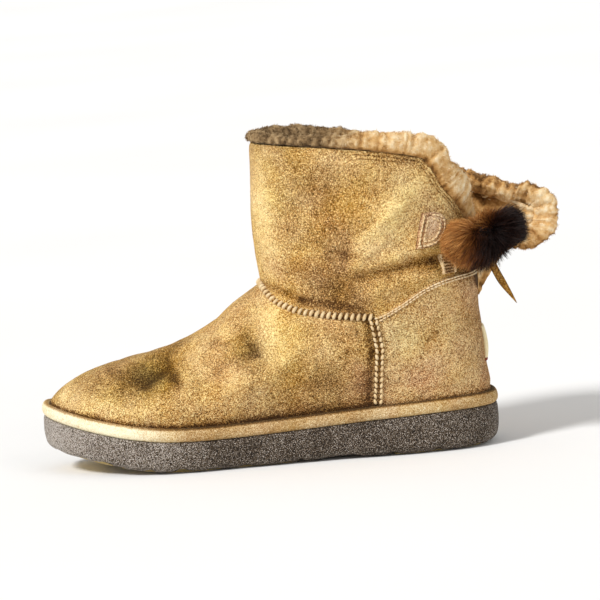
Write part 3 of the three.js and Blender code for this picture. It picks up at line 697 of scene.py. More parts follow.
def upper_piece():
    columns, low_rows, high_rows = UPPER_GRID.values()
    levels = split_levels(0, 2, low_rows, high_rows)
    turn, level = np.meshgrid(np.linspace(-1, 1, columns + 1), levels)
    outside, normal, tone = hide(turn, level)
    inside = outside - normal * WALL
    shift = turn.size
    ids = np.arange(shift).reshape(turn.shape)
    ids[:low_rows, columns] = ids[:low_rows, 0]
    quad = np.stack([ids[:-1, :-1], ids[:-1, 1:], ids[1:, 1:], ids[1:, :-1]], axis=-1).reshape(-1, 4)
    outer, inner = ids[low_rows - 1:, columns], ids[low_rows - 1:, 0]
    rims = ((ids[0, :-1], ids[0, 1:]), (ids[-1, 1:], ids[-1, :-1]),
            (outer[:-1], outer[1:]), (inner[1:], inner[:-1]))
    faces = [quad, quad[:, ::-1] + shift] + [rim_faces(near, after, shift) for near, after in rims]
    points = np.concatenate([outside.reshape(-1, 3), inside.reshape(-1, 3)])
    shade = np.clip(UPPER_TONE + tone, *UPPER_TONE_RANGE)
    make_piece("upper_hide", points, np.concatenate(faces), suede, ["upper"],
               {"tone": both(shade), "hue": both(hue_at(outside))})


upper_piece()

RING_SIDES = 300
SOLE_ROWS = 26
WELT_ROWS = 22


# Outsole and welt as smooth rings round the plan
def ring_stack(name, rings, material, replaces, tone, cap, wear=None):
    sides, rows = RING_SIDES, len(rings)
    angle = circle(sides)
    layers = []
    for inset, height in rings:
        edge = plan(angle, np.full(sides, inset))
        layers.append(np.concatenate([edge, height(edge[:, 0])[:, None]], axis=-1))
    points = np.array(layers)
    if wear:
        points = wear(points)
    faces = grid_faces(rows, sides, around=True).tolist()
    last = (rows - 1) * sides
    if cap:
        for start, up in ((0, False), (last, True)):
            for i in range(sides // 2):
                across = start + (sides - i - 1) % sides, start + (sides - i) % sides
                strip = list(dict.fromkeys([start + i, start + i + 1, *across]))
                faces.append(strip if up else strip[::-1])
    else:
        faces += [[last + i, last + (i + 1) % sides, (i + 1) % sides, i] for i in range(sides)]
    make_piece(name, points, faces, material, replaces, {"tone": tone(points.reshape(-1, 3))})


def sole_rings():
    rings = []
    for share in np.linspace(0, 1, SOLE_ROWS) ** 1.2:
        inset = float(read(SOLE_SIDE, "share", "inset", share))
        rings.append((inset, lambda along, share=share: mix(sole_bottom(along), sole_top(along), share)))
    return rings


# Lighter towards the toe and at the heel's back
SOLE_TONE = {"base": 0.3, "toe": 0.28, "ball": 0.3, "heel": 0.04}


def sole_tone(points):
    toe, ball = ease(225, 268, points[:, 0]), ease(160, 215, points[:, 0])
    heel = 1 - ease(0, 22, points[:, 0])
    return SOLE_TONE["base"] + SOLE_TONE["toe"] * toe + SOLE_TONE["ball"] * ball + SOLE_TONE["heel"] * heel


# Nicks along the sole's lower edge: where, how long, how deep
NICKS = table("along long deep", [
    (232, 4, 1.6), (206, 2, 1.2), (187, 3, 2.2), (150, 2.5, 1.2), (118, 2, 1.4), (64, 3, 1.2), (38, 2, 1)])


# The sole's lower edge, worn and nicked
def sole_wear(points):
    share = (np.arange(len(points)) / (len(points) - 1))[:, None]
    low = (1 - ease(0.0, 0.3, share)) * ease(-0.01, 0.02, share)
    deep = 1.1 * np.clip(lumps(points, 2.2, 91), 0, 1) + 0.6 * np.clip(lumps(points, 7, 92), 0, 1)
    for along, long, depth in zip(*NICKS.values()):
        deep = deep + depth * bell(points[..., 0] - along, long)
    across = points[..., 1]
    moved = points.copy()
    moved[..., 1] -= across / np.maximum(np.abs(across), 1) * (deep * low)
    moved[..., 2] += 0.8 * deep * (1 - ease(0.0, 0.2, share))
    return moved


ring_stack("outsole_foam", sole_rings(), sole_foam, ["outsole"], sole_tone, True, sole_wear)


def welt_rings():
    rings = []
    for rise in np.linspace(0, 1, WELT_ROWS):
        inset = float(read(WELT_SIDE, "rise", "inset", rise))
        rings.append((inset, lambda along, rise=rise: sole_top(along) + GAP + rise * WELT_HEIGHT))
    inner = WELT_OVERHANG - GAP
    rings.append((inner, lambda along: sole_top(along) + 0.9 * WELT_HEIGHT))
    rings.append((inner, lambda along: sole_top(along) + GAP))
    return rings


# Lighter towards the toe, and darker along the top: painted shade under the upper's overhang
WELT_TONE = {"base": 0.49, "toe": 0.42, "top": -0.5}


def welt_tone(points):
    toe = ease(165, 225, points[:, 0])
    top = ease(0.82, 1.0, (points[:, 2] - sole_top(points[:, 0])) / WELT_HEIGHT)
    return WELT_TONE["base"] + WELT_TONE["toe"] * toe + WELT_TONE["top"] * top


ring_stack("welt_band", welt_rings(), welt_suede, ["welt"], welt_tone, False)

# Tread pads with fine grooves let into their undersides
TREAD_GROOVE = {"pitch": 4.2, "wide": 2.2, "rim": 0.5, "deep": 0.7}


def tread_piece(node):
    shape = bmesh.new()
    shape.from_mesh(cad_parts[node].data)
    first = min(vertex.co.x for vertex in shape.verts)
    last = max(vertex.co.x for vertex in shape.verts)
    pitch, wide = TREAD_GROOVE["pitch"] * MM, TREAD_GROOVE["wide"] * MM
    starts = np.arange(first + pitch / 2, last - wide, pitch)
    for place in np.sort(np.concatenate([starts, starts + wide])):
        everything = shape.verts[:] + shape.edges[:] + shape.faces[:]
        bmesh.ops.bisect_plane(shape, geom=everything, plane_co=(place, 0, 0), plane_no=(1, 0, 0))
    strips = []
    for start in starts:
        strips += [face for face in shape.faces if face.normal.z < -0.9
                   and start < face.calc_center_median().x < start + wide]
    merged = bmesh.ops.dissolve_faces(shape, faces=strips)["region"] if strips else []
    bmesh.ops.inset_individual(shape, faces=merged, thickness=TREAD_GROOVE["rim"] * MM)
    moved = {vertex for face in merged for vertex in face.verts}
    bmesh.ops.translate(shape, verts=list(moved), vec=(0, 0, TREAD_GROOVE["deep"] * MM))
    mesh = bpy.data.meshes.new(f"{node}_ribbed")
    shape.to_mesh(mesh)
    shape.free()
    add_piece(f"{node}_ribbed", mesh, gum, [node])


for tread_node in [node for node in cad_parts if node.startswith("tread_")]:
    tread_piece(tread_node)

# Wool footbed over the insole's outline
FOOTBED = {"thick": 4, "inset": WELT_OVERHANG + WALL + 2 * GAP, "half": 40, "rounding": 4, "shaded_grey": 0.4}


def footbed_piece():
    sides, rings = 160, 26
    angle = circle(sides)
    edge = plan(angle, np.full(sides, FOOTBED["inset"]))
    share = np.linspace(0, 0.97, rings)[:, None]
    middle = read(PLAN, "share", "middle", edge[:, 0] / SOLE_LENGTH)
    across = mix(edge[None, :, 1], middle[None, :], share)
    along = mix(edge[None, :, 0], SOLE_LENGTH / 2 + 0.8 * (edge[None, :, 0] - SOLE_LENGTH / 2), share)
    base = np.stack([along, across, sole_top(along) + GAP], axis=-1)
    thick = FOOTBED["thick"] * round_edge(share * FOOTBED["half"], FOOTBED["rounding"])
    thick = thick + 0.5 * lumps(base, 6, 95) * share
    top = base + np.array([0, 0, 1.0]) * thick[..., None]
    points = np.concatenate([base[:1], top])
    tone = 0.5 + 0.3 * lumps(points, 4, 96)
    # The footbed's wool leans towards the darker grey copy: painted shade inside the boot
    make_piece("wool_footbed", points, tube_faces(rings + 1, sides), wool, ["insole"],
               {"tone": tone, "front": np.full(tone.shape, FOOTBED["shaded_grey"])})


# Distance of a grid's points from the nearest of its borders: left, right, bottom and top
def border_distance(points, ends="lrbt"):
    nearest = np.full(points.shape[:2], 1e3)
    for axis, first, last in ((0, "b", "t"), (1, "l", "r")):
        step = np.linalg.norm(np.diff(points, axis=axis), axis=-1)
        zero = np.zeros_like(np.take(step, [0], axis=axis))
        run = np.concatenate([zero, np.cumsum(step, axis=axis)], axis=axis)
        rest = np.take(run, [-1], axis=axis) - run
        if first in ends:
            nearest = np.minimum(nearest, run)
        if last in ends:
            nearest = np.minimum(nearest, rest)
    return nearest


# Soft lines along an edge: how far inside it, how wide and how strong
def edge_lines(edge, rows):
    return sum(amount * bell(edge - inset, width) for inset, width, amount in rows)


# Closed sheet from two grids of points, the outer one first
def sheet_mesh(outside, inside):
    rows, columns = outside.shape[:2]
    shift = rows * columns
    front = grid_faces(rows, columns)
    ids = np.arange(shift).reshape(rows, columns)
    rim = np.concatenate([ids[0, :-1], ids[:-1, -1], ids[-1, :0:-1], ids[:0:-1, 0]])
    after = np.roll(rim, -1)
    points = np.concatenate([outside.reshape(-1, 3), inside.reshape(-1, 3)])
    return points, np.concatenate([front, front[:, ::-1] + shift, rim_faces(rim, after, shift)])


# Piece that is such a sheet, with values on the points of its grid
def sheet_piece(name, outside, inside, material, slot, replaces=(), **values):
    points, faces = sheet_mesh(outside, inside)
    doubled = {key: both(numbers) for key, numbers in values.items()}
    make_piece(name, points, faces, material, replaces, doubled)


# Share of the full height near a rounded edge
def round_edge(distance, radius):
    return np.sqrt(1 - (1 - np.clip(distance / radius, 0, 1)) ** 2)


# Tubes along many short paths at once
def tubes(paths, normals, radius, taper, sides=6):
    count, steps = paths.shape[:2]
    run = unit(np.gradient(paths, axis=1))
    side = unit(np.cross(run, normals))
    up = np.cross(side, run)
    angle = circle(sides)
    wide = np.broadcast_to(radius, (count,))[:, None, None, None] * np.asarray(taper)[None, :, None, None]
    around = np.cos(angle)[:, None] * side[:, :, None, :] + np.sin(angle)[:, None] * up[:, :, None, :]
    points = (paths[:, :, None, :] + around * wide).reshape(-1, 3)
    one = grid_faces(steps, sides, around=True)
    caps = [np.arange(sides)[::-1], np.arange(sides) + (steps - 1) * sides]
    faces = (one[None] + (np.arange(count) * steps * sides)[:, None, None]).reshape(-1, 4).tolist()
    for cap in caps:
        faces += (cap[None] + (np.arange(count) * steps * sides)[:, None]).tolist()
    return points, faces


# Flat tapering hairs: paths of points, and the direction across each
def ribbons(paths, across, width):
    count, steps = paths.shape[:2]
    share = np.linspace(0, 1, steps)
    half = np.asarray(width)[:, None] * (1 - 0.75 * share[None, :] ** 2) / 2
    left = paths - across[:, None, :] * half[..., None]
    right = paths + across[:, None, :] * half[..., None]
    points = np.stack([left, right], axis=2).reshape(-1, 3)
    strip = np.array([[2 * k, 2 * k + 1, 2 * k + 3, 2 * k + 2] for k in range(steps - 1)])
    faces = (strip[None] + (np.arange(count) * steps * 2)[:, None, None]).reshape(-1, 4)
    return points, faces, np.tile(np.repeat(share, 2), count)


# Running mean of values with their ends held
def smooth(values, window):
    kernel = np.hanning(window + 2)[1:-1]
    kernel /= kernel.sum()
    first, last = (np.repeat(end, window, axis=0) for end in (values[:1], values[-1:]))
    columns = np.concatenate([first, values, last]).reshape(len(values) + 2 * window, -1).T
    done = np.stack([np.convolve(column, kernel, mode="same") for column in columns], axis=-1)
    return done[window:-window].reshape(values.shape)


# Even stations along a path of points, with directions and any other values carried along
def stations(points, pitch, *carried):
    run = path_length(points)
    count = max(2, int(round(run[-1] / pitch)))
    at = (np.arange(count) + 0.5) * run[-1] / count

    def along(values):
        values = np.asarray(values, dtype=float)
        flat = values.reshape(len(values), -1)
        made = np.stack([np.interp(at, run, column) for column in flat.T], axis=-1)
        return made.reshape((count,) + values.shape[1:])
    place = along(points)
    run_way = unit(along(np.gradient(points, axis=0)))
    return [place, run_way] + [along(values) for values in carried]


# Kinds of stitch; each goes from below the surface over it and back
STITCHES = {
    "side": {"length": 2.4, "radius": 0.82, "lift": 0.75, "thread": seam_thread, "slot": "suede"},
    "ankle": {"length": 3.5, "radius": 1.08, "lift": 0.85, "thread": seam_thread, "slot": "suede"},
    "counter": {"length": 2.0, "radius": 0.46, "lift": 0.45, "thread": pale_thread, "slot": "counter_suede"},
    "tab": {"length": 1.9, "radius": 0.56, "lift": 0.5, "thread": seam_thread, "slot": "counter_suede"}}
STITCH_SINK = 0.5
STITCH_JITTER = 0.2
STITCH_SIZES = (0.85, 1.12)
STITCH_TAPER = [0.75, 0.95, 1.0, 1.0, 1.0, 0.95, 0.75]
THREAD_PITCH = 3.5
FINE_PITCH = 2.5


def add_stitches(name, kind, place, normal, way):
    length, radius, lift, thread, slot = STITCHES[kind].values()
    rng = np.random.default_rng(len(place))
    place = place + way * rng.uniform(-STITCH_JITTER, STITCH_JITTER, (len(place), 1))
    radius = radius * rng.uniform(*STITCH_SIZES, len(place))
    share = np.linspace(-1, 1, len(STITCH_TAPER))
    arc = lift - (lift + STITCH_SINK) * np.abs(share) ** 2.4
    paths = place[:, None, :] + way[:, None, :] * (share * length / 2)[None, :, None]
    paths = paths + normal[:, None, :] * arc[None, :, None]
    normals = np.repeat(normal[:, None, :], len(share), axis=1)
    points, faces = tubes(paths, normals, radius, STITCH_TAPER)
    make_piece(name, points, faces, thread)


SIDES = ((1, "left"), (-1, "right"))
RIDGE_SIDES = 14
# The seam rolls are nearly black: painted shade in the gaps between their stitches
RIDGE_TONE = 0.02


# Raised seam along a path on the upper
def seam_ridge(name, node, turn, level, half_width, rise):
    place, normal, tone = hide(turn, level)
    across = np.cross(normal, unit(np.gradient(place, axis=0)))
    angle = circle(RIDGE_SIDES)
    points = (place[:, None, :] + across[:, None, :] * (np.cos(angle) * half_width)[None, :, None]
              + normal[:, None, :] * (np.sin(angle) * rise)[None, :, None])
    shade = np.repeat(RIDGE_TONE + 0.3 * tone, RIDGE_SIDES)
    make_piece(name, points, tube_faces(len(turn), RIDGE_SIDES), suede, [node], {"tone": shade})
    return place, normal, across


SIDE_SEAM = table("height along", [(20, 72.2), (26, 71.7), (64, 68.2), (81, 70.5), (130, 70.5)])
COUNTER_TOP = table("along height", [
    (0, 104), (12.5, 103.7), (29, 102.1), (40, 98.4), (52, 91.4), (66.2, 84.4), (80, 81)])


# Turn of the side seam at each level
def seam_turn(levels, side):
    trial = np.linspace(0.2, 0.98, 300)
    found = []
    for level in levels:
        ring = skin(side * trial, np.full(trial.shape, level))
        ahead = ring[:, 0] - np.interp(ring[:, 2], SIDE_SEAM["height"], SIDE_SEAM["along"])
        found.append(np.interp(0, -ahead, trial))
    return np.array(found)


# Two rows of thread beside each side seam: distance from it and slant
SEAM_ROWS = (("front", 1.6, 0.28), ("back", -1.6, -0.28))
SIDE_RIDGE = {"half_width": 2.6, "rise": 1.5}
ANKLE_RIDGE = {"half_width": 1.9, "rise": 1.4}


def seams():
    levels = np.linspace(0.13, 0.985, 80)
    for side, label in SIDES:
        turns = side * seam_turn(levels, side)
        place, normal, across = seam_ridge(
            f"side_seam_roll_{label}", f"side_seam_{label}", turns, levels, **SIDE_RIDGE)
        for row, shift, slant in SEAM_ROWS:
            line = place + normal * 0.9 + across * shift
            seat, run, up, wide = stations(line, THREAD_PITCH, normal, across)
            way = unit(run * 0.95 + wide * slant)
            add_stitches(f"side_stitches_{row}_{label}", "side", seat, up, way)
    left, right = (seam_turn(np.array([1.0]), side)[0] for side, _ in SIDES)
    turns = np.linspace(-right, left, 220)
    place, normal, across = seam_ridge(
        "ankle_seam_roll", "ankle_seam", turns, np.full(turns.shape, 1.0), **ANKLE_RIDGE)
    seat, run, up, wide = stations(place + normal * 0.7, THREAD_PITCH, normal, across)
    add_stitches("ankle_stitches", "ankle", seat, up, unit(wide * 0.95 + run * 0.3))


seams()


# Hem lines beside the collar and the split: turn and level at an even distance inside the edge
def hem_path(inset):
    step = 0.01
    split = np.linspace(1.42, 2, 70)
    collar = np.linspace(1, 0.68, 60)
    wide = np.linalg.norm(skin(1, split) - skin(1 - step, split), axis=-1) / step
    tall = np.linalg.norm(skin(collar, 2) - skin(collar, 2 - step), axis=-1) / step
    split_turn = 1 - inset / wide
    collar_level = 2 - inset / tall
    low = split < collar_level[0]
    past = collar < split_turn[-1]
    turn = np.concatenate([split_turn[low], collar[past]])
    level = np.concatenate([split[low], collar_level[past]])
    return smooth(turn, 13), smooth(level, 13)


HEM_ROWS = (("outer", 3.2), ("inner", 6.2))
HEM_THREAD = {"radius": 0.36, "tone": 0.28}


def add_hems():
    for side, label in SIDES:
        for row, inset in HEM_ROWS:
            turn, level = hem_path(inset)
            place, normal, _ = hide(side * turn, level)
            points, faces = tubes(place[None], normal[None], HEM_THREAD["radius"], np.ones(len(turn)))
            shade = np.full(len(points), HEM_THREAD["tone"])
            make_piece(f"hem_line_{row}_{label}", points, faces, suede, values={"tone": shade})


add_hems()


# Heel counter, one half on each side of the split: turn and level of its points
COUNTER_GRID = {"columns": 100, "rows": 70}


def counter_grid(side):
    trial = np.linspace(0.08, 1.6, 150)
    seam = seam_turn(trial, 1)
    top = []
    shares = np.linspace(0, 1, COUNTER_GRID["columns"])
    for share in shares:
        turn = 1 - (1 - share) * (1 - seam)
        column = skin(turn, trial)
        over = column[:, 2] - read(COUNTER_TOP, "along", "height", column[:, 0])
        top.append(np.interp(0, over, trial))
    rise = np.linspace(0, 1, COUNTER_GRID["rows"])[:, None]
    level = mix(0.1, np.array(top)[None, :], rise)
    turn = 1 - (1 - shares)[None, :] * (1 - np.interp(level, trial, seam))
    if side < 0:
        return -turn[:, ::-1], level[:, ::-1]
    return turn, level


# Spots of wear on the counter and of painted shade (under the bow, beside the side seam, above the welt),
# grooves along its edge (inset, width, depth), and rows of stitches
COUNTER_WEAR_AND_SHADE = table("along height long high tone", [
    (53, 66, 8, 7, 0.1), (59, 79, 6, 6, 0.1), (20, 46, 8, 6, 0.08), (28, 97, 8, 4, 0.04),
    (36, 76, 6, 9, -0.12), (16, 78, 7, 10, -0.12), (24, 62, 8, 6, -0.08), (50, 46, 10, 8, -0.08),
    (30, 34, 26, 3, -0.12), (63, 46, 5, 14, -0.14), (8, 62, 6, 34, -0.22), (12, 101, 9, 6, -0.2)])
COUNTER_GROOVES = ((1.9, 0.55, 1), (3.9, 0.7, 0.5))
COUNTER_TONE = 0.57
COUNTER_HUE = -0.18
COUNTER_ROWS = (("upper", 0.9), ("lower", 2.9))

# Shadow of the slit beside the split, on the outer half: narrow at its foot and wide at its top
SLIT = {"narrow": 6.5, "wide": 12.5, "soft": 3.5, "foot": 86, "full": 95, "top": 101, "depth": 1.1}


def slit_shadow(along, height):
    edge = mix(SLIT["narrow"], SLIT["wide"], ease(SLIT["foot"], SLIT["top"], height))
    behind = 1 - ease(edge - SLIT["soft"], edge, along)
    return SLIT["depth"] * behind * ease(SLIT["foot"], SLIT["full"], height)


def counter_piece():
    parts = []
    for side, label, front, back in ((1, "outer", "l", "r"), (-1, "inner", "r", "l")):
        turn, level = counter_grid(side)
        place, normal, tone = hide(turn, level)
        along, height = place[..., 0], seen_height(place)
        edge = border_distance(place, front + "t")
        edge = np.where(level > SPLIT_BOTTOM, np.minimum(edge, border_distance(place, back)), edge)
        groove = edge_lines(edge, COUNTER_GROOVES)
        lift = 0.1 + 1.3 * round_edge(edge, 0.9) - 0.5 * groove
        # Darker in the grooves: painted shade
        shade = COUNTER_TONE + 0.5 * tone + spots(COUNTER_WEAR_AND_SHADE, along, height) - 0.45 * groove
        if side > 0:
            shade = shade - slit_shadow(along, height)
        outside = lifted(place, normal, lift)
        points, faces = sheet_mesh(outside, place - normal * 0.3)
        parts.append((points, faces, both(shade), both(hue_at(place) + COUNTER_HUE)))
        columns = np.arange(place.shape[1])
        for row, inset in COUNTER_ROWS:
            pick = np.argmin(np.abs(border_distance(place, "t") - inset), axis=0)
            line = smooth(outside[pick, columns], 7)
            seat, run, raised = stations(line, FINE_PITCH, normal[pick, columns])
            add_stitches(f"counter_stitches_{row}_{label}", "counter", seat, raised, run)
    points, faces, shade, hue = zip(*parts)
    faces = np.concatenate([faces[0], faces[1] + len(points[0])])
    make_piece("heel_counter_hide", np.concatenate(points), faces, counter_suede,
               ["heel_counter"], {"tone": np.concatenate(shade), "hue": np.concatenate(hue)})


counter_piece()

# D-shaped tabs beside the split, and the ribbed strip under the outer one
TAB = {"turn": 0.78, "level": 1.56, "front": 43.8, "height": 20.5, "depth": 16, "slant": 5.5, "foot": 120.5}
STRIP = {"front": 29.5, "back": 21, "foot": 104.2, "top": 116, "pitch": 1.7}


def tab_swing(side):
    return (skin(side * TAB["turn"], TAB["level"]) - skin(TAB["turn"], TAB["level"]))[[0, 2]]


# Tab outline shrunk by an inset; share runs from its foot to its top, depth from its front to its back
def tab_point(share, depth, inset, side):
    angle = mix(-np.pi / 2, np.pi / 2, share)
    middle = TAB["height"] / 2
    rise = middle + (middle - inset) * np.sin(angle)
    front = TAB["front"] - TAB["slant"] * rise / TAB["height"] - inset
    reach = (TAB["depth"] - 2 * inset) * np.clip(np.cos(angle), 0, 1) ** 0.55
    swing = tab_swing(side)
    return front - depth * reach + swing[0], TAB["foot"] + rise + swing[1]


# Points and normals of the upper at places seen from the side
def patch_place(along, height, side):
    turn, level = locate(np.ravel(along), np.ravel(height), side)
    place, normal, _ = hide(turn, level)
    shape = np.shape(along) + (3,)
    return place.reshape(shape), normal.reshape(shape)


# Lines along a tab's edge (inset, width, shade), and rows of stitches
PATCH_SINK = 0.05
TAB_TONE = 0.63
TAB_HUE = -0.1
TAB_LINES = ((0, 0.6, 0.5), (2.7, 1.0, 0.4))
TAB_ROWS = (("outer", 1.5), ("inner", 4.0))


def tab_piece(side, label):
    share, depth = np.meshgrid(np.linspace(0.04, 0.96, 36), np.linspace(0, 1, 30), indexing="ij")
    if side < 0:
        depth = depth[:, ::-1]
    place, normal = patch_place(*tab_point(share, depth, 0, side), side)
    edge = border_distance(place)
    lift = 0.2 + 1.3 * round_edge(edge, 1.2)
    shade = TAB_TONE - edge_lines(edge, TAB_LINES)
    outside, inside = lifted(place, normal, lift), place + normal * PATCH_SINK
    sheet_piece(f"tab_hide_{label}", outside, inside, tab_suede, "counter_suede", [f"tab_{label}"],
                tone=shade, hue=np.full(shade.shape, TAB_HUE))
    share = np.linspace(0.05, 0.95, 40)
    for row, inset in TAB_ROWS:
        front, back = (tab_point(share, depth, inset, side) for depth in (0, 1))
        along, height = (np.concatenate([ahead[::-1], behind]) for ahead, behind in zip(front, back))
        place, normal = patch_place(along, height, side)
        seat, run, up = stations(place + normal * 1.5, FINE_PITCH, normal)
        add_stitches(f"tab_stitches_{row}_{label}", "tab", seat, up, run)


for tab_side, tab_label in SIDES:
    tab_piece(tab_side, tab_label)


def strip_piece():
    heights = np.linspace(STRIP["foot"], STRIP["top"], 60)
    height, along = np.meshgrid(heights, np.linspace(STRIP["front"], STRIP["back"], 30), indexing="ij")
    place, normal = patch_place(along, height, 1)
    rib = np.sin((height - STRIP["foot"]) * 2 * np.pi / STRIP["pitch"])
    inner = ease(1.6, 2.4, border_distance(place, "lr"))
    lift = 0.2 + 1.1 * round_edge(border_distance(place), 0.9) + inner * (0.35 * rib - 0.35)
    # Darker inside its pale edges, and on the ribs lighter at the crests and darker in the troughs: painted
    # shade and highlight
    shade = 0.64 - inner * (0.48 - 0.2 * rib)
    outside, inside = lifted(place, normal, lift), place + normal * PATCH_SINK
    sheet_piece("split_strip_ribbed", outside, inside, tab_suede, "counter_suede", ["split_strip"],
                tone=shade)


strip_piece()

# Plain label on the counter at the heel's back, standing off it in the middle
LABEL = {"half": 9, "foot": 48, "top": 69, "thick": 0.8, "bow": 1.1}


def label_piece():
    half, foot, top, thick, bow = LABEL.values()
    across, height = np.meshgrid(np.linspace(-half, half, 30), np.linspace(foot, top, 34))
    # Turn and level that give these places, found in small steps from a first guess
    level = np.full(across.shape, 0.6)
    turn = 1 - across / 120
    for _ in range(25):
        here = skin(np.where(turn > 1, turn - 2, turn), level)
        turn = turn + (here[..., 1] - across) / 140
        level = level - (here[..., 2] - height) / 70
    place, normal, _ = hide(np.where(turn > 1, turn - 2, turn), level)
    place, normal = place[:, ::-1], normal[:, ::-1]
    fold = bow * np.sin(np.pi * (height - foot) / (top - foot))
    lift = 1.5 + thick * round_edge(border_distance(place), 0.7) + fold
    bound = bell(border_distance(place, "b"), 2.5)
    outside, inside = lifted(place, normal, lift), place + normal * 1.2
    sheet_piece("heel_label_woven", outside, inside, label_weave, "label", ["heel_label"], bound=bound)


label_piece()

# Wool over the collar and along both edges of the split
FLEECE_EDGE = table("level outer inner", [
    (1.06, 1.2, 0.8), (1.2, 1.5, 1), (1.36, 1.8, 2.5), (1.48, 2.4, 8), (1.55, 8, 9.5), (1.62, 13.5, 10),
    (1.74, 16, 10.5), (1.86, 16.5, 11), (1.94, 14.8, 12.5), (2, 13, 12.5)])
FLEECE_FRONT = 5.5
FLEECE_SECTION = [
    (0.4, 0), (1.8, 0.35), (1, 0.8), (-2.5, 1), (-6, 0.85), (-8.4, 0.4), (-8.8, -0.15), (-7, -0.45),
    (-3.8, -0.1)]
FLEECE_SEAT = 0.8
FLEECE_GRID = {"rows": 680, "sides": 32}
FLEECE_TONE = 0.56
LINING_TONE = 0.34

# Painted shade of the hollow on the inner flap just above the bow, in the roll and in the lining
FLEECE_HOLLOW_SHADE = table("along height long high tone", [(1, 151, 7, 9, -0.4)])
LINING_HOLLOW_SHADE = table("along height long high tone", [(2, 156, 8, 12, -0.35)])


# Smooth closed curve through corners
def closed_curve(corners, count):
    corners = np.array(corners, dtype=float)
    at = np.linspace(0, len(corners), count, endpoint=False)
    row = np.floor(at).astype(int)
    t = (at - row)[:, None]
    p = [corners[(row + k) % len(corners)] for k in (-1, 0, 1, 2)]
    return 0.5 * (2 * p[1] + (p[2] - p[0]) * t + (2 * p[0] - 5 * p[1] + 4 * p[2] - p[3]) * t ** 2
                  + (3 * p[1] - p[0] - 3 * p[2] + p[3]) * t ** 3)


# Stations up the outer split edge, round the collar and down the inner split edge, for the wool on them
def fleece_frame(count):
    near = np.linspace(SPLIT_BOTTOM + 0.02, 2, 140)
    collar = np.linspace(1, -1, 500)[1:-1]
    turn = np.concatenate([np.ones(len(near)), collar, -np.ones(len(near))])
    level = np.concatenate([near, np.full(len(collar), 2.0), near[::-1]])
    place, normal, _ = hide(turn, level)
    outer, inner = (read(FLEECE_EDGE, "level", column, level) for column in ("outer", "inner"))
    height = mix(FLEECE_FRONT, np.where(turn > 0, outer, inner), ease(0.5, 0.95, np.abs(turn)))
    length = path_length(place)
    carried = (normal, height, turn, length - length[-len(near)])
    seat, run, out, height, turn, from_corner = stations(place, length[-1] / count, *carried)
    away = unit(smooth(np.cross(smooth(run, 9), out), 15))
    return seat, unit(smooth(out, 15)), away, height, turn, from_corner


def surface_normals(points):
    up = np.gradient(points, axis=0)
    around = np.roll(points, -1, axis=1) - np.roll(points, 1, axis=1)
    normal = np.cross(around, up)
    return normal / np.maximum(np.linalg.norm(normal, axis=-1, keepdims=True), 1e-9)


RIB_PITCH = 5.2


# Locks of wool lying across the edge that they grow on
def wool_ribs(run, edge_points):
    sway = 2.6 * lumps(edge_points, 7, 36)
    lock = 2 * np.abs(np.sin(np.pi * run / RIB_PITCH + sway)) - 1
    return 0.3 * lock + 0.75 * lumps(edge_points, 3.6, 31) + 0.45 * lumps(edge_points, 1.8, 34)


# Distance from the inner flap's corner, down the split's edge or (below zero) round the collar
def edge_run(turn, level, on_split):
    levels = np.linspace(SPLIT_BOTTOM, 2, 200)
    turns = np.linspace(-1, 1, 400)
    split = path_length(skin(-1, levels))
    collar = path_length(skin(turns, 2))
    return np.where(on_split, split[-1] - np.interp(level, levels, split), -np.interp(turn, turns, collar))


def fleece_piece():
    rows, sides = FLEECE_GRID.values()
    seat, out, away, height, turn, from_corner = fleece_frame(rows)
    section = closed_curve(FLEECE_SECTION, sides)
    lump = 1 + 0.14 * lumps(seat, 9, 21) + 0.07 * lumps(seat, 4, 22)
    high = FLEECE_SEAT + section[None, :, 1] * (height * lump)[:, None]
    base = seat[:, None, :] + out[:, None, :] * section[None, :, 0, None]
    base = base + away[:, None, :] * high[..., None]
    normal = surface_normals(base)
    centre = base.mean(axis=1, keepdims=True)
    normal *= np.sign(np.sum(normal * (base - centre), axis=(-1, -2), keepdims=True))
    girth = path_length(base.swapaxes(0, 1)).T
    lock = seat[:, None, :] + np.stack([girth * 0, girth * 0, girth * 0.14], axis=-1)
    skin_side = ease(-2.5, 0, section[:, 0])[None, :]
    low = 1 - ease(0.0, 0.25, section[:, 1])[None, :]
    free = (1 - skin_side * low) * mix(0.3, 1, ease(3, 9, height)[:, None])
    rib = wool_ribs(from_corner[:, None] + 0.12 * girth, lock)
    fine = lumps(base, 1.5, 33) + 0.6 * lumps(base, 3, 35)
    points = lifted(base, normal, (1.35 * rib + 0.6 * fine) * free)
    front = (1 - ease(0.5, 0.82, np.abs(turn)))[:, None] * np.ones((1, sides))
    far = ease(0.2, 0.7, -turn)[:, None]
    # Painted shade and highlight: the hollow above the bow and the collar's front darker, and the locks'
    # crests lighter and their crevices darker, as the relief they follow
    gap = spots(FLEECE_HOLLOW_SHADE, points[..., 0], side_height(points)) * (turn < 0)[:, None]
    shade = FLEECE_TONE + 0.02 * far + gap + 0.24 * rib + 0.22 * fine - 0.1 * front
    shade = np.clip(shade - 0.4 * skin_side * mix(low, 1, far), 0, 1)
    make_piece("fleece_roll", points, tube_faces(len(points), sides), wool, ["fleece_edge"],
               {"tone": shade, "front": front})
    keep = np.broadcast_to((section[None, :, 1] > 0.15) & (height[:, None] > 4.2), girth.shape)
    add_fuzz("fleece_fuzz", points[keep], normal[keep], shade[keep], front[keep], **FLEECE_FUZZ)


# Fine wool fibres standing on a surface, bent in tufts the way a slow noise says
FUZZ_STEPS = 4
FUZZ_WIDTHS = (0.16, 0.34)
FLEECE_FUZZ = {"count": 22000, "length": 1.9, "seed": 71}
LINING_FUZZ = {"count": 11000, "length": 2.2, "seed": 81}


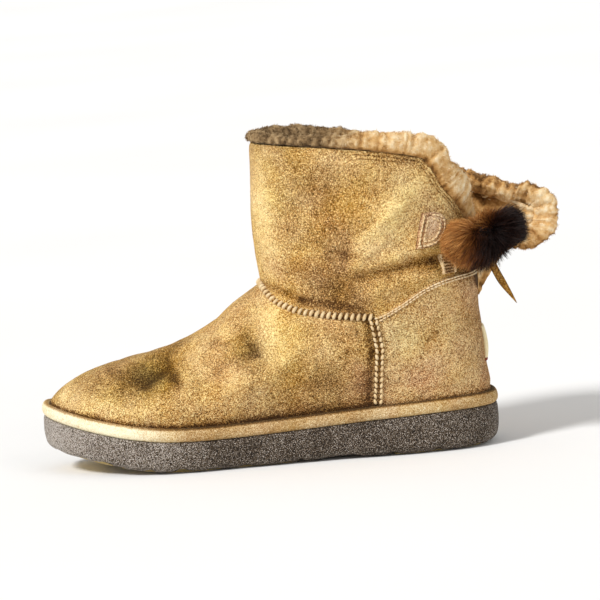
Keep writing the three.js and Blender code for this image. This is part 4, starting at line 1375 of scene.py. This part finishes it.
def add_fuzz(name, seats, normals, shade, front, count, length, seed):
    rng = np.random.default_rng(seed)
    pick = rng.integers(0, len(seats), count)
    root, normal = seats[pick], normals[pick]
    root = root + np.cross(normal, rng.normal(size=(count, 3))) * 0.5
    sway = lump_ways(root, 3.2, seed) * 1.3 + 0.45 * rng.normal(size=(count, 3))
    flow = unit(normal * 0.75 + sway)
    curl = np.cross(normal, flow) * rng.uniform(-0.7, 0.7, count)[:, None] - normal * 0.35
    share = np.linspace(0, 1, FUZZ_STEPS)[None, :, None]
    reach = (length * rng.uniform(0.6, 1.3, count))[:, None, None]
    curve = flow[:, None, :] * share + curl[:, None, :] * share ** 2
    paths = root[:, None, :] - normal[:, None, :] * 0.3 + reach * curve
    across = unit(np.cross(flow, rng.normal(size=(count, 3))))
    points, faces, along = ribbons(paths, across, rng.uniform(*FUZZ_WIDTHS, count))
    tone = shade[pick] + 0.13 * rng.normal(size=count)
    tone, front = (np.repeat(values, 2 * FUZZ_STEPS) for values in (tone, front[pick]))
    tone = np.clip(tone + 0.3 * (along - 0.4), 0, 1)
    make_piece(name, points, faces, wool, values={"tone": tone, "front": front})


fleece_piece()


# Wool inside the shaft and the foot, in ribs beside the inner flap's edge
def lining_piece():
    turn, level = np.meshgrid(np.linspace(-0.998, 0.985, 210), split_levels(0.2, 1.998, 50, 70))
    place, normal, _ = hide(turn, level)
    edge = border_distance(place, "lrt")
    flap = ease(0.45, 0.75, -turn) * ease(1.2, 1.45, level)
    split_edge = skin(np.full(turn.shape, -1.0), level)
    collar_edge = skin(turn, np.full(turn.shape, 2.0))
    nearer = np.linalg.norm(place - split_edge, axis=-1) < np.linalg.norm(place - collar_edge, axis=-1)
    edge_points = np.where(nearer[..., None], split_edge, collar_edge)
    rib = wool_ribs(edge_run(turn, level, nearer) + 0.1 * edge, edge_points)
    plain = lumps(place, 6, 41)
    fine = lumps(place, 2.6, 42)
    shape = mix(plain, 1.5 * rib, flap) + 0.6 * fine
    thick = mix(4.6, 4.2 + 3.2 * (1 - ease(8, 24, edge)), flap)
    slit = ease(0.5, 0.8, -turn) * (1 - ease(1.32, 1.46, level)) * ease(0.95, 1.06, level)
    rim = mix(round_edge(edge, 3), 1, flap) * (1 - 0.9 * slit)
    depth = WALL + 0.3 + (thick + 1.1 * shape) * rim
    inside = lifted(place, -normal, depth)
    outside = place - normal * (WALL + 0.15)
    # Lighter near the flap's edge, partly the wool's colour and partly painted light, and darker in the
    # locks' crevices than on their crests: painted shade and highlight
    near_edge = 0.34 * (1 - ease(14, 26, edge)) + 0.32 * rib
    shade = LINING_TONE + mix(0.14 * plain, near_edge, flap) + 0.18 * fine
    shade = shade + spots(LINING_HOLLOW_SHADE, place[..., 0], side_height(place))
    # In the split's low part the wool darkens towards the near edge: a painted shadow inside the slit
    shade = np.clip(mix(shade, 0.58 - 0.9 * ease(5, 7.5, place[..., 0]), slit), 0, 1)
    # Away from the flap and the slit the wool leans to the grey copy: painted shade inside the boot
    front = 0.5 * (1 - flap) * (1 - slit)
    sheet_piece("wool_lining", inside[:, ::-1], outside[:, ::-1], wool, "wool",
                tone=shade[:, ::-1], front=front[:, ::-1])
    keep = (level > 1.42) & (edge > 0.5)
    add_fuzz("lining_fuzz", inside[keep], -normal[keep], shade[keep], front[keep], **LINING_FUZZ)


lining_piece()
footbed_piece()

# Fur bow: two lobes of hair, the knot between them and the leather tail
LOBE_RADIUS = 12
OVERLAY_THICK = 1.2
BOW_SEAT = {"turn": 0.85, "level": 1.5}
KNOT = {"radius": 6, "gap": 3.2}
TAIL = {"width": 4.4, "thick": 1.6, "back": 16.8, "drop": 35.1, "bend_back": 7.1, "bend_drop": 18}
near_lobe = skin(**BOW_SEAT) + skin_normal(**BOW_SEAT) * (LOBE_RADIUS + OVERLAY_THICK)
bow_axis = np.array([-22.0, -16.0, 2.0])
bow_axis /= np.linalg.norm(bow_axis)
far_lobe = near_lobe + bow_axis * (2 * LOBE_RADIUS + KNOT["gap"])
knot_centre = (near_lobe + far_lobe) / 2
LOBE_CORE = (7.5, 7, 8)
BOW = [
    {"label": "outer", "node": "bow_lobe_outer", "centre": near_lobe, "hairs": 14000, "roots": LOBE_CORE,
     "core": LOBE_CORE},
    {"label": "inner", "node": "bow_lobe_inner", "centre": far_lobe, "hairs": 9000, "roots": LOBE_CORE,
     "core": LOBE_CORE},
    {"label": "knot", "node": "bow_knot", "centre": knot_centre, "hairs": 5500, "roots": (9, 7, 8),
     "core": (8.5, 6.5, 7.5)}]
FUR_LENGTH = 15
FUR_SHORTEST = 2.5
FUR_WIDTHS = (0.17, 0.36)
FUR_STREAK = {"a": (22, 134), "b": (-8, 143)}
STREAK_WIDTH = 5

# Outline that the fur fills in the photo's side view
FUR_OUTLINE = table("along height", [
    (24, 136.5), (12, 139), (0, 143.5), (-7, 145.5), (-13, 145.5), (-19, 142), (-22.5, 137), (-23.5, 128),
    (-21, 121), (-12, 117), (-7, 111), (-3, 106), (3, 102), (12, 105.5), (19, 110), (25.5, 114), (29, 119),
    (28, 127)])


def inside_outline(along, height):
    corners = list(FUR_OUTLINE.values())
    odd = np.zeros(along.shape, dtype=bool)
    for a, h, b, g in zip(*corners, *np.roll(corners, -1, axis=1)):
        if h != g:
            odd ^= ((h > height) != (g > height)) & (along < (b - a) * (height - h) / (g - h) + a)
    return odd


def sphere_rays(count, rng):
    return unit(rng.normal(size=(count, 3)))


# Hairs combed away from the knot, each as long as the outline leaves room for
def fur_piece(part, seed):
    rng = np.random.default_rng(seed)
    count = part["hairs"]
    ray = sphere_rays(count, rng)
    root = part["centre"] + ray * np.array(part["roots"]) * rng.uniform(0.6, 1.0, count)[:, None]
    spread = np.clip((root - knot_centre) @ bow_axis / (2 * LOBE_RADIUS), -1, 1)[:, None]
    clump = lump_ways(root, 4.5, seed)
    comb = spread * np.array([-1.1, -0.3, 0.45]) + np.array([0.15, 0.05, -0.1])
    flow = unit(ray * 0.36 + comb + 0.46 * clump + 0.1 * rng.normal(size=(count, 3)))
    share = np.linspace(0, 1, 11)[None, :, None]
    curve = flow[:, None, :] * share + ray[:, None, :] * share * (1 - share) * 0.35
    curve = curve + np.array([0, 0, -0.16]) * share ** 2
    trial = root[:, None, :] + FUR_LENGTH * curve
    within = inside_outline(trial[..., 0], side_height(trial))
    room = np.cumprod(within, axis=1).sum(axis=1) / share.size
    reach = FUR_LENGTH * room + 3.5 * clump[:, 1] + rng.uniform(-3.5, 2.5, count)
    reach = np.clip(reach, FUR_SHORTEST, FUR_LENGTH) * rng.uniform(0.75, 1, count)
    paths = root[:, None, :] + reach[:, None, None] * curve[:, ::2]
    across = unit(np.cross(flow, sphere_rays(count, rng)))
    points, faces, along = ribbons(paths, across, rng.uniform(*FUR_WIDTHS, count))
    tip, tip_height = paths[:, -1, 0], side_height(paths[:, -1])
    streak = bell(segment_distance(tip, tip_height, **FUR_STREAK), STREAK_WIDTH)
    low_front = ease(-8, 15, tip - 9.9 + 0.37 * (tip_height - 109.5))
    warm = 0.05 + 0.72 * low_front + 0.25 * streak + mix(0.12, 0.34, low_front) * clump[:, 0]
    warm = warm + mix(0.06, 0.16, low_front) * rng.normal(size=count)
    tint = np.repeat(np.clip(warm, 0, 1), 2 * paths.shape[1])
    make_piece(f"fur_{part['label']}", points, faces, fur, [part["node"]],
               {"along": along, "tint": tint})


CORE_GRID = {"rows": 24, "sides": 36}


# Dark lump inside the hairs: painted shade of the fur's depth
def core_piece(part, seed):
    rows, sides = CORE_GRID.values()
    height, turn = np.meshgrid(np.linspace(0.02, np.pi - 0.02, rows), circle(sides), indexing="ij")
    ray = np.stack([np.sin(height) * np.cos(turn), np.sin(height) * np.sin(turn), np.cos(height)], axis=-1)
    uneven = 1 + 0.1 * lumps(ray * 10, 4, seed)
    points = part["centre"] + ray * np.array(part["core"]) * uneven[..., None]
    faces = [face[::-1] for face in tube_faces(rows, sides)]
    make_piece(f"fur_core_{part['label']}", points, faces, fur,
               values={"along": np.zeros(ray.shape[:2]), "tint": np.full(ray.shape[:2], 0.1)})


for make, first_seed in ((fur_piece, 11), (core_piece, 51)):
    for number, bow_part in enumerate(BOW):
        make(bow_part, first_seed + number)


def tail_piece():
    rows, columns = 50, 9
    share = np.linspace(0, 1, rows)
    top = knot_centre - [0, 0, KNOT["radius"] - 1]
    bend, tip = (TAIL["bend_drop"], TAIL["bend_back"]), (TAIL["drop"], TAIL["back"])
    curve = table("drop back", [(0, 0), bend, tip])
    drop = share * TAIL["drop"]
    centre = top + np.stack([-read(curve, "drop", "back", drop), np.zeros(rows), -drop], axis=-1)
    run = unit(np.gradient(centre, axis=0))
    side = np.stack([-run[:, 2], np.zeros(rows), run[:, 0]], axis=-1)
    half = TAIL["width"] / 2 * (1 - 0.92 * np.clip((share - 0.6) / 0.4, 0, 1) ** 1.3)
    across = np.linspace(-1, 1, columns)
    cup = (1 - across ** 2) * 0.5
    face = centre[:, None, :] + side[:, None, :] * (half[:, None] * across)[..., None]
    thick = np.array([0, 1.0, 0]) * (TAIL["thick"] / 2 * (0.55 + cup))[None, :, None]
    shade = 0.55 - 0.3 * np.abs(across)[None, :] ** 3 + 0.1 * lumps(face + thick, 4, 61)
    sheet_piece("tail_strip", face + thick, face - thick, leather, "cord_leather", ["bow_tail"], tone=shade)


tail_piece()

# Floor, light and camera; each lamp has the way to it, its power and its spread in degrees
FLOOR_HALF = 40.0
SENSOR_WIDTH = 36
SUNS = (("key", (1.0, 0.85, 1.2), 2.6, 12), ("fill", (-1.0, 1.2, 0.7), 0.55, 40))
SKY_STRENGTH = 0.5


def add_floor():
    corners = [(x * FLOOR_HALF, y * FLOOR_HALF, 0) for x, y in ((-1, -1), (1, -1), (1, 1), (-1, 1))]
    mesh = bpy.data.meshes.new("floor")
    mesh.from_pydata(corners, [], [(0, 1, 2, 3)])
    shader = Shader("floor_paper")
    paper = shader.ramp(shader.noise(400, 1.0), [(0.3, "#f4f3f1"), (0.7, "#f8f7f5")])
    mesh.materials.append(shader.finish(paper, 0.9, specular=0.1))
    floor = bpy.data.objects.new("floor", mesh)
    bpy.context.collection.objects.link(floor)


def add_sun(name, towards, power, spread):
    lamp = bpy.data.lights.new(name, "SUN")
    lamp.energy = power
    lamp.angle = math.radians(spread)
    light = bpy.data.objects.new(name, lamp)
    light.rotation_euler = Vector(towards).to_track_quat("Z", "Y").to_euler()
    bpy.context.collection.objects.link(light)


def add_camera():
    focus = Vector(((FOCUS_ALONG - HEEL_SEAT) * MM, 0.0, FOCUS_HEIGHT * MM))
    lens = bpy.data.cameras.new("camera")
    lens.sensor_width = SENSOR_WIDTH
    lens.lens = SENSOR_WIDTH * CAMERA_DISTANCE / FRAME_WIDTH
    camera = bpy.data.objects.new("camera", lens)
    rise = math.radians(PHOTO_ELEVATION)
    away = Vector((0, math.cos(rise), math.sin(rise)))
    camera.location = focus + away * CAMERA_DISTANCE
    turn = (-away).to_track_quat("-Z", "Y").to_matrix().to_4x4()
    roll = Matrix.Rotation(math.radians(-PHOTO_ROLL), 4, "Z")
    camera.matrix_world = Matrix.Translation(camera.location) @ turn @ roll
    bpy.context.collection.objects.link(camera)
    bpy.context.scene.camera = camera


add_floor()
for sun in SUNS:
    add_sun(*sun)
add_camera()
world = bpy.data.worlds.new("studio")
world.use_nodes = True
background = world.node_tree.nodes["Background"].inputs
background["Color"].default_value = (1, 1, 1, 1)
background["Strength"].default_value = SKY_STRENGTH
bpy.context.scene.world = world
bpy.context.scene.view_settings.view_transform = "Standard"
